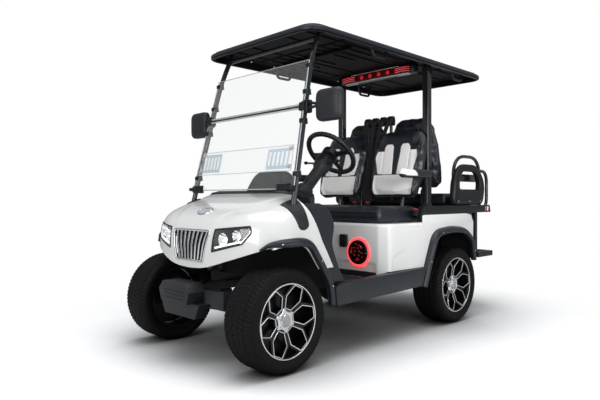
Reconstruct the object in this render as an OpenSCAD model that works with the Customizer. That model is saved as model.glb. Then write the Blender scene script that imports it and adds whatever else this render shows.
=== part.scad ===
// Golf cart for four people: two seats face forward and two face back.
// X points forward, Y to the cart's left and Z up. The origin lies on the ground,
// under the middle of the cart's length and width.

/* [Overall] */
// Distance between the front and rear axles
wheelbase = 1670; // [1400:10:2100]
// From the front axle to the tip of the bumper
front_overhang = 300; // [285:5:400]
// From the rear axle to the back edge of the step
rear_overhang = 760; // [700:10:960]
// Width of the painted body, without its flares
body_w = 1180; // [1140:10:1440]
// Height of the roof's lower edge
roof_z = 1842; // [1700:10:2300]
// Width of the roof
roof_w = 1030; // [960:10:1300]

/* [Wheels] */
// Outer diameter of a tyre
tyre_d = 544; // [500:2:560]
// Width of a tyre
tyre_w = 225; // [190:5:230]
// Diameter of the rim's flange
rim_d = 390; // [340:5:400]
// Distance between the middles of the front tyres
front_track = 1016; // [1000:4:1200]
// Distance between the middles of the rear tyres
rear_track = 1000; // [980:4:1200]
// Radius of the stub shafts that carry the wheels
shaft_r = 16; // [12:1:20]

/* [Steering] */
// Distance between the two kingpins
kingpin_span = 800; // [760:10:820]
// Length of the steering arms
steer_arm = 115; // [90:5:140]
// Diameter of the steering wheel
hand_wheel_d = 350; // [300:10:380]

/* [Frame] */
// Height of the frame rails
rail_h = 50; // [40:5:60]
// Width of the frame rails
rail_w = 50; // [40:5:60]
// Distance between the middles of the frame rails
rail_span = 410; // [380:10:440]
// Height of the floor's upper face
floor_z = 390; // [380:5:420]
// Thickness of the floor
floor_t = 14; // [8:1:20]

/* [Body shell] */
// Wall of the painted panels
shell_t = 4; // [3:0.5:8]
// Thickness of the roof panel
roof_t = 6; // [4:1:12]
// How far the fender flares stand out from the body
flare_out = 40; // [20:5:60]
// Height of the flares, measured across the band
flare_band = 46; // [30:2:70]
// Side of the square rear posts
post_w = 50; // [40:2:60]
// Radius of the windshield posts
tube_r = 16; // [12:1:20]
// Thickness of the windshield panes
pane_t = 5; // [3:1:8]

/* [Seats] */
// Width of the front bench
bench_w = 1060; // [900:10:1100]
// Depth of the front bench
bench_d = 470; // [400:10:500]
// Thickness of the cushions
cushion_h = 108; // [80:2:130]
// Width of one backrest
back_w = 430; // [360:5:460]
// Thickness of the backrests
back_t = 95; // [70:5:110]
// Radius of the cup holders in the dash
cup_r = 40; // [34:1:44]
// Radius of the tow pin hole in the rear crossmember
tow_r = 10; // [8:0.5:13]

/* [Hidden] */
$fn = 48;

half_body = body_w / 2;
front_x = (wheelbase + front_overhang + rear_overhang) / 2 - front_overhang;
rear_x = front_x - wheelbase;
axle_z = tyre_d / 2;
rail_y = rail_span / 2;
rail_top = floor_z - floor_t;
rear_rail_top = 460;
roof_under = roof_z + 40;
flare_y = half_body + flare_out;
seat_rail_z = 786;
seat_rail_top = 842;
beam_y = half_body - 40.2;
beam_back = -538;
run_gap = 0.05;
soft_gap = 0.3;

// ---- helpers -------------------------------------------------------------

function unit(v) = v / norm(v);
function along(p, i) = unit(p[min(i + 1, len(p) - 1)] - p[max(i - 1, 0)]);
function side_step(p, i, d) = let (t = along(p, i)) p[i] + d * [-t.y, t.x];
// A closed outline: the path, and the same path moved sideways by w
function band(p, w) = concat(p, [for (i = [len(p) - 1:-1:0]) side_step(p, i, w)]);
// Quadratic arcs round off every inner corner of a path
function arc_at(a, b, c, s) = (1 - s) * (1 - s) * a + 2 * s * (1 - s) * b + s * s * c;
function rounded(p, n = 5) = concat([p[0]],
  [for (i = [1:len(p) - 2]) for (k = [0:n - 1])
    arc_at((p[i - 1] + p[i]) / 2, p[i], (p[i] + p[i + 1]) / 2, k / n)],
  [(p[len(p) - 2] + p[len(p) - 1]) / 2, p[len(p) - 1]]);
// Corner points of a rectangle with round corners
function round_box(w, h, r, n = 6) = [for (c = [0:3]) for (k = [0:n])
  let (a = 90 * c + 90 * k / n, sx = (c == 0 || c == 3) ? 1 : -1, sy = c < 2 ? 1 : -1)
  [sx * (w / 2 - r) + r * cos(a), sy * (h / 2 - r) + r * sin(a)]];

module at_front() translate([front_x, 0, 0]) children();
module at_rear() translate([rear_x, 0, 0]) children();
module both_sides() {
  children();
  mirror([0, 1, 0]) children();
}
// An outline in X and Z, drawn out between two Y values
module slab(y0, y1) translate([0, y1, 0]) rotate([90, 0, 0]) linear_extrude(y1 - y0) children();
// An outline in Y and Z, drawn out between two X values
module plank(x0, x1) translate([x0, 0, 0]) rotate([90, 0, 90]) linear_extrude(x1 - x0) children();
module rod(a, b, r) {
  d = b - a;
  translate(a) rotate([0, acos(d.z / norm(d)), atan2(d.y, d.x)]) cylinder(h = norm(d), r = r);
}
// A tube through its points, with a slightly fuller ball at each bend
module bent_tube(p, r) {
  for (i = [0:len(p) - 2]) rod(p[i], p[i + 1], r);
  for (i = [1:len(p) - 2]) translate(p[i]) sphere(r + 0.6);
}
module block(x0, x1, y0, y1, z0, z1) translate([x0, y0, z0]) cube([x1 - x0, y1 - y0, z1 - z0]);

// ---- frame and running gear ---------------------------------------------

front_rail_end = 132;
rail_step = 380;
rear_rail_end = -520;

module frame_rails() color("#1c1d1f") both_sides() {
  x0 = rear_x + rear_rail_end;
  union() {
    block(rear_x + rail_step - rail_w, front_x + front_rail_end, rail_y - rail_w / 2,
          rail_y + rail_w / 2, rail_top - rail_h, rail_top);
    block(x0, rear_x + rail_step, rail_y - rail_w / 2, rail_y + rail_w / 2,
          rear_rail_top - rail_h, rear_rail_top);
    block(rear_x + rail_step - rail_w, rear_x + rail_step, rail_y - rail_w / 2,
          rail_y + rail_w / 2, rail_top - rail_h, rear_rail_top);
  }
}

module crossmembers() color("#1c1d1f") {
  y = rail_y - rail_w / 2;
  for (x = [front_x + 60, front_x - 420, rear_x + 700])
    block(x - 20, x + 20, -y, y, rail_top - rail_h, rail_top - 4);
  for (x = [rear_x + 300, rear_x - 300])
    block(x - 20, x + 20, -y, y, rear_rail_top - rail_h, rear_rail_top);
  // Beams between the seat rails: the rear cushion rests on them
  for (x = [-70, -280]) block(rear_x + x - 20, rear_x + x + 20, -beam_y, beam_y, seat_rail_z, seat_rail_top);
  block(rear_x + beam_back, rear_x + beam_back + 38, -beam_y, beam_y, seat_rail_z, seat_rail_top - 6);
  difference() {
    block(rear_x - 520, rear_x - 460, -y, y, rear_rail_top - rail_h, rear_rail_top);
    translate([rear_x - 490, 0, rear_rail_top - rail_h - 1]) cylinder(h = rail_h + 2, r = tow_r);
  }
}

beam_r = 26;
ear_h = 14;
knuckle_h = 96;
kingpin_r = 10;
kingpin_y = kingpin_span / 2;

module front_axle() color("#202225") at_front() union() {
  rod([0, -kingpin_y + 40, axle_z], [0, kingpin_y - 40, axle_z], beam_r);
  both_sides() {
    block(-22, 22, kingpin_y - 60, kingpin_y - 36, axle_z - knuckle_h / 2 - ear_h,
          axle_z + knuckle_h / 2 + ear_h);
    for (z = [axle_z - knuckle_h / 2 - ear_h, axle_z + knuckle_h / 2])
      block(-22, 22, kingpin_y - 60, kingpin_y + 16, z, z + ear_h);
    translate([0, kingpin_y, axle_z - knuckle_h / 2 - ear_h])
      cylinder(h = knuckle_h + 2 * ear_h, r = kingpin_r);
  }
}

// The barrel turns on the kingpin, 1 mm short of each ear
module knuckle(side) at_front() scale([1, side, 1]) difference() {
  union() {
    translate([0, kingpin_y, axle_z - knuckle_h / 2 + 1]) cylinder(h = knuckle_h - 2, r = 22);
    rod([0, kingpin_y + 12, axle_z], [0, front_track / 2 + 62, axle_z], shaft_r);
    translate([0, kingpin_y + 16, axle_z]) rotate([-90, 0, 0]) cylinder(h = 20, r = 26);
    block(-steer_arm - 14, 0, kingpin_y - 14, kingpin_y + 14, axle_z - 40, axle_z - 26);
  }
  translate([0, kingpin_y, axle_z - knuckle_h]) cylinder(h = 2 * knuckle_h, r = kingpin_r + run_gap);
}
module knuckle_left() color("#2a2c30") knuckle(1);
module knuckle_right() color("#2a2c30") knuckle(-1);

// The bar's two eyes lie just under the steering arms
module tie_rod() color("#3a3d42") at_front() union() {
  z = axle_z - 60;
  rod([-steer_arm, -kingpin_y, z], [-steer_arm, kingpin_y, z], 9);
  both_sides() translate([-steer_arm, kingpin_y, z - 14]) cylinder(h = 33.5, r = 16);
}

module rear_axle() color("#202225") at_rear() {
  half = rear_track / 2;
  union() {
    rod([0, -half + 110, axle_z], [0, half - 110, axle_z], 32);
    rod([0, -half - 62, axle_z], [0, half + 62, axle_z], shaft_r);
    both_sides() translate([0, half - 118, axle_z]) rotate([-90, 0, 0]) cylinder(h = 22, r = 50);
    translate([0, -60, axle_z]) rotate([90, 0, 0]) cylinder(h = 120, r = 92);
    block(-190, 0, -180, -60, axle_z - 60, axle_z + 60);
  }
}

module motor() color("#3c3f44") at_rear()
  translate([-150, -60, axle_z]) rotate([-90, 0, 0]) cylinder(h = 230, r = 84);

// One leaf from hanger to hanger: flat on the axle, curved up to the eyes
module leaf(half_l, z_mid, z_eye) {
  t = 16;
  p = [for (i = [-8:8]) let (s = i / 8) [s * half_l, z_mid + (z_eye - z_mid) * s * s]];
  slab(rail_y - 22, rail_y + 22) polygon(concat(p, [for (i = [16:-1:0]) p[i] + [0, t]]));
  for (s = [-1, 1]) translate([s * half_l, rail_y + 24, z_eye + t / 2])
    rotate([90, 0, 0]) cylinder(h = 48, r = 14);
}
module leaf_springs() color("#27292c") both_sides() {
  // The front axle lies under the leaf at this share of its half length
  s = 60 / 170;
  eye = rail_top - rail_h - 22;
  at_front() translate([-60, 0, 0]) leaf(170, (axle_z + beam_r + soft_gap - eye * s * s) / (1 - s * s), eye);
  at_rear() leaf(300, axle_z + 32, rear_rail_top - rail_h - 22);
}

module battery() color("#33363b")
  block(rear_x + 400, rear_x + 760, -330, 330, floor_z, 660);

// ---- wheels --------------------------------------------------------------

rim_r = rim_d / 2;
bead_r = rim_r - 17;
barrel_r = bead_r - 8;
tyre_r = tyre_d / 2;
shoulder = 26;
half_tyre = tyre_w / 2;
rim_half = half_tyre - 14;

// Half of the carcass's section, from the bead out to the tread
function tyre_section() = concat(
  [[bead_r, -rim_half + 20], [bead_r, -rim_half + 6.5], [rim_r, -rim_half + 4.5],
   [rim_r + 0.5, -rim_half - 3]],
  rounded([[rim_r + 10, -half_tyre + 3], [rim_r + 40, -half_tyre], [tyre_r - 12, -half_tyre + 8],
           [tyre_r, -half_tyre + shoulder + 14]], 4));
function tyre_lining() = [[bead_r + 6, -rim_half + 20], [rim_r + 12, -half_tyre + 16],
  [tyre_r - 36, -half_tyre + 16], [tyre_r - 16, -half_tyre + 40]];
function both_halves(p) = concat(p, [for (i = [len(p) - 1:-1:0]) [p[i].x, -p[i].y]]);

// A hollow casing, open at the beads
module tyre() {
  inside = both_halves(tyre_lining());
  rotate([-90, 0, 0]) rotate_extrude($fn = 96) polygon(concat(both_halves(tyre_section()),
    [for (i = [len(inside) - 1:-1:0]) inside[i]]));
}

petals = 6;
// Barrel, flanges, spoke disc and hub. The outer face looks along +Y.
module rim() {
  face = rim_half - 22;
  rotate([-90, 0, 0]) difference() {
    union() {
      rotate_extrude($fn = 96) polygon([
        [barrel_r, -rim_half], [rim_r, -rim_half - 2], [rim_r, -rim_half + 4],
        [bead_r - 0.3, -rim_half + 6], [bead_r - 0.3, rim_half - 6], [rim_r, rim_half - 4],
        [rim_r, rim_half + 2], [barrel_r, rim_half]]);
      translate([0, 0, face - 24]) cylinder(h = 24, r = barrel_r + 2);
      translate([0, 0, face - 60]) cylinder(h = 76, r = 56);
    }
    for (i = [0:petals - 1]) rotate(360 * i / petals) translate([0, 0, face - 30]) {
      linear_extrude(36) polygon([[62, 15], [115, 45], [rim_r - 31, 27], [rim_r - 31, -27], [115, -45], [62, -15]]);
    }
    translate([0, 0, face - 70]) cylinder(h = 70, r = shaft_r + run_gap);
    for (i = [0:3]) rotate(45 + 90 * i) translate([36, 0, face + 6]) cylinder(h = 20, r = 8);
  }
}

module wheel_place(front, side) {
  x = front ? front_x : rear_x;
  half = (front ? front_track : rear_track) / 2;
  translate([x, side * half, axle_z]) rotate(side > 0 ? 0 : 180) children();
}
module tyre_front_left() color("#151515") wheel_place(true, 1) tyre();
module tyre_front_right() color("#151515") wheel_place(true, -1) tyre();
module tyre_rear_left() color("#151515") wheel_place(false, 1) tyre();
module tyre_rear_right() color("#151515") wheel_place(false, -1) tyre();
module rim_front_left() color("silver") wheel_place(true, 1) rim();
module rim_front_right() color("silver") wheel_place(true, -1) rim();
module rim_rear_left() color("silver") wheel_place(false, 1) rim();
module rim_rear_right() color("silver") wheel_place(false, -1) rim();

// ---- hood and nose -------------------------------------------------------

nose_x = 203;
nose_cap = 196;
hood_back = -244;
hood_low = 420;
hood_chin = 512;

// Half width of the nose seen from above: straight, then a soft round end
function hood_half(x) = let (u = max(0, (x + 100) / (nose_x + 100)))
  half_body * pow(1 - pow(u, 2.4), 1 / 2.4);
// Height of the hood's centre line: a gentle slope that rolls over at the nose
function hood_top(x) = let (u = max(0, (x - hood_back) / (nose_x - hood_back)),
                            slope = 928 - 0.3 * (x - hood_back) * (1 + 0.0002 * (x - hood_back)))
  x < hood_back ? 928 : 500 + (slope - 500) * pow(1 - pow(u, 12), 0.4);
// One upright slice, a rounded box open at nothing, w wide and from z0 to z1
function slice(x, w, z0, z1, n = 8) = let (
  half = [for (i = [0:n]) let (a = 90 * (1 - pow(1 - i / n, 2)))
    [x, w * pow(cos(a), 0.25), z0 + (z1 - z0) * pow(sin(a), 0.67)]])
  concat(half, [for (i = [n - 1:-1:0]) [x, -half[i].y, half[i].z]]);
// A closed skin through slices with equal numbers of points
module skin(slices) {
  n = len(slices[0]);
  m = len(slices);
  polyhedron(
    points = [for (s = slices) for (p = s) p],
    faces = concat(
      [[for (k = [0:n - 1]) k], [for (k = [n - 1:-1:0]) (m - 1) * n + k]],
      [for (j = [0:m - 2]) for (k = [0:n - 1]) let (a = j * n + k, b = j * n + (k + 1) % n)
        [a, b + n, b]],
      [for (j = [0:m - 2]) for (k = [0:n - 1]) let (a = j * n + k, b = j * n + (k + 1) % n)
        [a, a + n, b + n]]));
}
// The nose as a solid, made smaller on every side by `inset`
module nose_solid(inset, z0) {
  m = 12;
  x0 = -480;
  x1 = nose_cap - inset;
  skin([for (j = [0:m]) let (x = x0 + (x1 - x0) * sin(90 * j / m))
    slice(x, hood_half(x + inset) - inset, z0, hood_top(x + inset) - inset)]);
}

// The fender's arch, from its front tip over the wheel and down to the rocker
front_arch = [[98, 636], [56, 684], [-72, 697], [-172, 684], [-288, 520], [-344, 425], [-352, 317]];
rear_arch = [[462, 317], [395, 480], [322, 640], [250, 684], [67, 700], [-114, 684], [-232, 604], [-262, 440]];
function lowered(p, d) = [for (i = [0:len(p) - 1]) side_step(p, i, d)];

module front_wheel_room(y0, y1) slab(y0, y1)
  polygon(concat(lowered(rounded(front_arch), flare_band), [[-352, 150], [98, 150]]));

module light_outline() polygon([[206, 612], [216, 731], [427, 752], [440, 720], [400, 660]]);
module grille_outline() polygon([[-178, 722], [178, 722], [134, 553], [-134, 553]]);

module hood() color("#eeeeec") at_front() difference() {
  nose_solid(0, hood_low);
  nose_solid(shell_t, hood_low - 60);
  slab(-flare_y, flare_y) polygon([[hood_back + 4, 1000], [-205, 880], [-276, 664], [-357, 515],
                                   [-700, 515], [-700, 1000]]);
  both_sides() front_wheel_room(250, flare_y + 60);
  both_sides() plank(40, 300)
    polygon([[-1, 300], [-1, hood_chin], [150, hood_chin + 6], [420, 600], [560, 655],
             [half_body + 110, 720], [half_body + 110, 300]]);
  both_sides() plank(-500, 41)
    polygon([[-1, 300], [-1, 515], [half_body + 110, 515], [half_body + 110, 300]]);
  plank(130, 260) grille_outline();
  both_sides() plank(60, 260) light_outline();
}

// Frame of the grille and its upright slats
module grille() color("#c9ccd0") at_front() {
  intersection() {
    plank(150, 196) difference() {
      grille_outline();
      polygon([[-164, 710], [164, 710], [124, 565], [-124, 565]]);
    }
    nose_solid(0, hood_low);
  }
  intersection() {
    union() {
      plank(150, 154) polygon([[-164, 710], [164, 710], [124, 565], [-124, 565]]);
      for (i = [-3.5:3.5]) plank(150, 186)
        polygon([[41 * i - 7, 709], [41 * i + 7, 709], [31 * i + 6, 566], [31 * i - 6, 566]]);
    }
    nose_solid(8, hood_low);
  }
}

module headlights() color("#d8dde2") at_front() intersection() {
  difference() {
    nose_solid(0, hood_low);
    nose_solid(34, hood_low - 60);
  }
  both_sides() plank(60, 260) light_outline();
}

// The front flare lies on the fender and follows it round the start of the nose
module front_flares() color("#191b1e") at_front() union() {
  both_sides() intersection() {
    slab(half_body + 0.2, flare_y) polygon(band(rounded(front_arch), flare_band));
    block(-500, -105, half_body - 50, flare_y + 10, 200, 760);
  }
  intersection() {
    difference() {
      nose_solid(half_body - flare_y, hood_low);
      nose_solid(-0.2, hood_low);
    }
    both_sides() intersection() {
      slab(300, flare_y + 10) polygon(band(rounded(front_arch), flare_band));
      block(-110, 300, 300, flare_y + 10, 500, 760);
    }
  }
}

module rear_flares() color("#191b1e") at_rear() both_sides()
  slab(half_body + 0.2, flare_y) polygon(band(rounded(rear_arch), flare_band));

// The bumper: a boxy snout between two wings that sweep back to the wheels
module front_bumper() color("#25272b") at_front() union() {
  plank(192, front_overhang) polygon([[-128, 330], [-150, 395], [-110, 440], [110, 440], [150, 395],
                                      [128, 330]]);
  both_sides() translate([0, 0, 300]) linear_extrude(100)
    polygon([[192, 0], [192, 150], [155, 262], [100, 285], [94, 262], [front_rail_end, 240],
             [front_rail_end, 0]]);
  plank(192, 262) polygon([[-150, 250], [-190, 330], [190, 330], [150, 250]]);
}

// ---- floor, sills and dash -------------------------------------------------

floor_front = -430;
toe_top = 640;
pod_x = 820;

module floor_pan() color("#2b2d30") union() {
  block(rear_x + rail_step + 12, front_x + floor_front, -half_body + 26, half_body - 26,
        floor_z - floor_t, floor_z);
  at_front() toe_board();
}
module toe_board() slab(-half_body + 80, half_body - 80)
  polygon([[floor_front, floor_z - floor_t], [floor_front + 14, floor_z - floor_t],
           [floor_front + 64, toe_top - 0.2], [floor_front + 50, toe_top - 0.2], [floor_front, floor_z]]);

module rockers() color("#1a1c1f") both_sides() slab(half_body - 26, flare_y - 10)
  polygon([[front_x - 368, 300], [front_x - 352.4, 312], [front_x - 352.4, 317], [front_x - 346.4, 400],
           [front_x - 397, 425], [rear_x + 424, 436], [rear_x + 470, 316]]);

dash_back = -470;
module dashboard() color("#3c3f44") at_front() difference() {
  slab(-half_body + 80, half_body - 80) polygon([[hood_back - 1, 905], [hood_back - 1, 936],
    [-300, 950], [-330, 935], [dash_back, 900], [dash_back, 800], [-400, 690], [-385, toe_top],
    [-345, toe_top], [-280, 820]]);
  for (y = [-50, 50]) translate([-420, y, 840]) cylinder(h = 120, r = cup_r);
  both_sides() block(dash_back - 10, -350, 160, half_body - 110, 770, 860);
}

// Side cheeks of the dash, flush with the hood's rear edge
module knee_panels() color("#1d1f23") at_front() both_sides() intersection() {
  slab(half_body - 79.9, half_body) polygon([[-245, 940], [-290, 940], [-338, 829], [-366, 786], [-374, 733],
    [-357, 670], [-368, 605], [-409, 505], [-452, 437], [-395, 426.5], [-352, 432], [-300, 511], [-361, 511],
    [-280, 664], [-209, 880]]);
  nose_solid(0, hood_low);
}

module pillar_covers() color("#232529") at_front() difference() {
  intersection() {
    nose_solid(-10, hood_low);
    both_sides() slab(half_body - 140, half_body + 40)
      polygon([[-95, 960], [-200, 960], [-190, 760], [-175, 735], [-140, 735], [-125, 760]]);
  }
  nose_solid(0, hood_low);
  both_sides() rod(post_foot, post_bend, tube_r + soft_gap);
}

// ---- windshield, roof and posts ---------------------------------------------

post_foot = [-151, half_body - 107, 860];
post_bend = [-350, roof_w / 2 - 90, 1700];
post_head = [-430, roof_w / 2 - 100, roof_under];

module windshield_posts() color("#17181a") at_front() difference() {
  both_sides() bent_tube([post_foot, post_bend, post_head], tube_r);
  nose_solid(0, hood_low);
  block(post_head.x - 60, post_head.x + 60, -roof_w / 2, roof_w / 2, roof_under, roof_under + 60);
}

function on_post(z) = post_foot + (post_bend - post_foot) * (z - post_foot.z) / (post_bend.z - post_foot.z);
module post_bar(z, r) {
  p = on_post(z);
  rod([p.x, -p.y, z], [p.x, p.y, z], r);
}
module windshield_bars() color("#2a2c2f") at_front() difference() {
  union() {
    post_bar(1415, 9);
    rod([post_head.x + 12, -post_head.y, roof_under - 44], [post_head.x + 12, post_head.y, roof_under - 44], 14);
  }
  both_sides() {
    rod(post_foot, post_bend, tube_r);
    rod(post_bend, post_head, tube_r);
  }
}

// A pane hangs between the posts, in front of them by one post radius
module pane(z0, z1) at_front() {
  a = on_post(z0);
  b = on_post(z1);
  polyhedron(
    points = [for (q = [a, b]) for (e = [[0, 1], [0, -1], [pane_t, -1], [pane_t, 1]])
      [q.x + tube_r * 1.04 + e.x, e.y * (q.y + 8), q.z]],
    faces = [[0, 1, 2, 3], [7, 6, 5, 4], [0, 4, 5, 1], [1, 5, 6, 2], [2, 6, 7, 3], [3, 7, 4, 0]]);
}
module lower_pane() color("#dfe8ee", 0.3) pane(950, 1402);
module upper_pane() color("#dfe8ee", 0.3) pane(1428, 1690);

module side_mirrors() color("#141517") at_front() both_sides() union() {
  translate([-300, 615, 1410]) rotate([90, 0, 90]) translate([0, 0, -16])
    linear_extrude(32) polygon(round_box(190, 180, 38));
  arm = on_post(1420);
  rod([arm.x, arm.y + tube_r + 0.4, 1420], [arm.x, 540, 1420], 10);
}

module roof() color("#17181b") {
  w = roof_w / 2;
  x0 = rear_x - 580;
  x1 = front_x - 270;
  len_x = x1 - x0;
  difference() {
    hull() {
      translate([(x0 + x1) / 2, 0, roof_z]) linear_extrude(30) polygon(round_box(len_x, roof_w, 120));
      translate([(x0 + x1) / 2, 0, roof_under + roof_t]) linear_extrude(18)
        polygon(round_box(len_x - 90, roof_w - 90, 90));
    }
    translate([(x0 + x1) / 2, 0, roof_z - 1]) linear_extrude(roof_under - roof_z + 1)
      polygon(round_box(len_x - 56, roof_w - 56, 92));
  }
}

module rear_posts() color("#17181a") {
  x = rear_x + 89;
  y = roof_w / 2 - 104;
  both_sides() translate([x - post_w / 2, y - post_w / 2, seat_deck_z])
    cube([post_w, post_w, roof_under - seat_deck_z]);
}

module sound_bar() color("#2a1214") at_rear()
  translate([140, 0, roof_under - 62]) slab_x(90, 704, 62, 20);
// A block across the cart with rounded ends
module slab_x(dx, dy, dz, r) linear_extrude(dz) polygon(round_box(dx, dy, r));

module handle_loop(x, y, l) {
  p = [[x - l / 2, y, roof_under], [x - l / 2 + 30, y, roof_under - 74], [x + l / 2 - 30, y, roof_under - 74],
       [x + l / 2, y, roof_under]];
  difference() {
    bent_tube(p, 10);
    translate([x - l, y - 20, roof_under]) cube([2 * l, 40, 40]);
  }
}
module grab_handles() color("#1a1b1e") both_sides() {
  handle_loop(front_x - 955, roof_w / 2 - 60, 180);
  handle_loop(rear_x - 260, roof_w / 2 - 60, 180);
}

// ---- seats ------------------------------------------------------------------

seat_deck_z = 735;
pod_back = -262;

// Painted body behind the seats: front wall, two sides and a deck
module seat_pod() color("#ececea") at_rear() difference() {
  translate([0, 0, floor_z]) linear_extrude(seat_deck_z - floor_z)
    polygon([[pod_x, half_body - 70], [pod_x - 30, half_body - 6], [pod_x - 60, half_body],
             [pod_back, half_body], [pod_back, -half_body], [pod_x - 60, -half_body],
             [pod_x - 30, -half_body + 6], [pod_x, -half_body + 70]]);
  translate([0, 0, floor_z - 1]) linear_extrude(seat_deck_z - floor_z - shell_t + 1)
    polygon([[pod_x - shell_t, half_body - 72], [pod_x - 60, half_body - shell_t],
             [pod_back - 1, half_body - shell_t], [pod_back - 1, -half_body + shell_t],
             [pod_x - 60, -half_body + shell_t], [pod_x - shell_t, -half_body + 72]]);
  slab(-flare_y, flare_y) polygon(concat(lowered(rounded(rear_arch), -0.01), [[-262, 300], [480, 300]]));
  both_sides() block(pod_back - 1, pod_x + 1, half_body - 27, flare_y, floor_z - 1, 437);
  block(300, 770, -400, 400, seat_deck_z - shell_t - 1, seat_deck_z + 1);
}

module speakers() color("#3a0d10") at_rear() both_sides()
  translate([pod_x, 364, 548]) rotate([0, 90, 0]) cylinder(h = 14, r = 92);

module charging_socket() color("#101113") at_rear()
  translate([pod_x, 244, 618]) rotate([0, 90, 0]) linear_extrude(22) polygon(round_box(84, 62, 12));

module seat_rails() color("#1b1c1f") at_rear() both_sides() union() {
  slab(half_body - 40, half_body) polygon([[404, seat_rail_z], [-546, seat_rail_z],
    [-530, seat_rail_top], [404, seat_rail_top]]);
  block(pod_back, 380, half_body - 40, half_body - 10, seat_deck_z, seat_rail_z);
}

module rear_panel() color("#141517") at_rear() {
  plank(pod_back - 30, pod_back - 0.2) polygon([[-half_body + 60, 460], [-half_body + 60, 780],
    [half_body - 60, 780], [half_body - 60, 460]]);
}

// Tubes that carry the backrests, from the deck up
module seat_frame() color("#1a1b1e") at_rear() both_sides() {
  bent_tube([[262, 300, seat_deck_z], [262, 300, seat_deck_z + 40], front_tube(900), front_tube(1300)], frame_r);
  bent_tube([[-20, 300, seat_deck_z], [-20, 300, 948], rear_tube(1000), rear_tube(1420)], frame_r);
}

frame_r = 14;
lean = 14;
// The front backrests have side bolsters and are wider by this much
bolster = 40;
front_back = [235, 27 + (back_w + bolster) / 2, 1150];
rear_back = [-60, 10 + back_w / 2, 1240];
tube_off = (back_t / 2 + frame_r + soft_gap) / cos(lean);
// Middle of the tube behind a backrest, at height z
function front_tube(z) = [front_back.x - (z - front_back.z) * tan(lean) - tube_off, 300, z];
function rear_tube(z) = [rear_back.x + (z - rear_back.z) * tan(lean) + tube_off, 300, z];

// A padded block that leans: outline across, drawn along the lean
module padded_block(w, h, t, r) rotate([90, 0, 90]) translate([0, 0, -t / 2])
  linear_extrude(t) polygon(round_box(w, h, r));

module front_backrests() color("#1b1d21") at_rear() both_sides()
  translate(front_back) rotate([0, -lean, 0]) padded_block(back_w + bolster, 500, back_t, 70);

module rear_backrests() color("#1b1d21") at_rear() both_sides()
  translate(rear_back) rotate([0, lean, 0]) padded_block(back_w, 560, back_t, 80);

// Middle of the armrest: its pad clears the end of the bench
arm_y = max(half_body - 24, bench_w / 2 + 36);
module front_armrests() color("#2a2c2f") at_rear() both_sides() union() {
  translate([465, arm_y, 1060]) slab(-30, 30) polygon(round_box(360, 66, 30));
  block(300, 350, arm_y - 15, arm_y + 15, seat_rail_top, 1030);
}

module rear_armrests() color("#1d1f22") at_rear() both_sides() slab(half_body - 60, half_body - 5) difference() {
  polygon(rounded([[0, 842.2], [-10, 960], [-30, 1060], [-120, 1150], [-350, 1150], [-450, 1060],
                   [-470, 960], [-450, 842.2]], 5));
  polygon(rounded([[-90, 960], [-90, 1030], [-150, 1095], [-330, 1095], [-395, 1030], [-395, 960],
                   [-240, 960], [-90, 960]], 5));
}

module grab_hoops() color("#1a1b1e") at_rear() both_sides() {
  y = half_body - 85;
  union() {
    bent_tube([[-120, y, seat_deck_z], [-120, y, 1140], [-210, y, 1215], [-440, y, 1215], [-519, y, 1130],
               [-519, y, seat_rail_top - 6]], 13);
    bent_tube([[-519, y, 1110], [-600, y, 1110], [-640, y, 1060], [-640, y, 860], [-600, y, 815],
               [beam_back, y, 815]], 13);
  }
}

// The bench and, behind it, the two lugs that it turns on
module front_cushion() color("#1c1e22") at_rear() {
  difference() {
    union() {
      translate([pod_x - bench_d / 2 - 10, 0, seat_deck_z + soft_gap]) linear_extrude(cushion_h)
        polygon(round_box(bench_d, bench_w, 60));
      both_sides() {
        rod([lug_x, lug_y - 30, lug_z], [lug_x, lug_y + 30, lug_z], lug_r);
        block(lug_x, lug_x + 12, lug_y - 30, lug_y + 30, lug_z, lug_z + lug_r);
      }
    }
    both_sides() rod([lug_x, lug_y - 40, lug_z], [lug_x, lug_y + 40, lug_z], pin_r + run_gap);
  }
}

pin_r = 5;
lug_r = 8;
lug_x = pod_x - bench_d - 16;
lug_y = 200;
lug_z = seat_deck_z + lug_r + 1;
// Pins and stands that hold the bench's lugs
module seat_hinges() color("#4a4d52") at_rear() both_sides() union() {
  rod([lug_x, lug_y - 37, lug_z], [lug_x, lug_y + 37, lug_z], pin_r);
  for (y = [lug_y - 37, lug_y + 31]) block(lug_x - 8, lug_x + 4.4, y, y + 6, seat_deck_z, lug_z + 2);
}

module rear_cushion() color("#1c1e22") at_rear()
  translate([-250, 0, 842 + soft_gap]) linear_extrude(90) polygon(round_box(420, 980, 50));

module rear_step() color("#23252a") at_rear() union() {
  block(-rear_overhang, -520.1, -500, 500, 420, 462);
  both_sides() block(beam_back, beam_back + 36, 440, 480, 462, seat_rail_z);
}

module tail_lamps() color("#7a1015") at_rear() both_sides()
  block(pod_back - 42, pod_back - 30, half_body - 130, half_body - 70, 600, 700);

// ---- steering controls --------------------------------------------------------

column_foot = [-400, 300, 925];
column_lean = 45;
hub = [-655, 300, 1180];
module steering_column() color("#1e2023") at_front() difference() {
  d = hub - column_foot;
  rod(column_foot, hub - unit(d) * 32.3, 34);
  slab(0, half_body) polygon([[hood_back, 905], [hood_back, 936], [-300, 950], [-330, 935], [dash_back, 900],
    [dash_back, 700], [hood_back, 700]]);
}

// Rim, three spokes and a padded hub, in the plane across the column
module steering_wheel() color("#151618") at_front() translate(hub) rotate([0, -column_lean, 0]) union() {
  rotate_extrude($fn = 72) translate([hand_wheel_d / 2 - 16, 0]) circle(r = 16, $fn = 24);
  translate([0, 0, -32]) cylinder(h = 44, r = 52);
  for (a = [90, 180, 270]) rotate(a) translate([40, -16, -12]) cube([hand_wheel_d / 2 - 50, 32, 12]);
}

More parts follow.
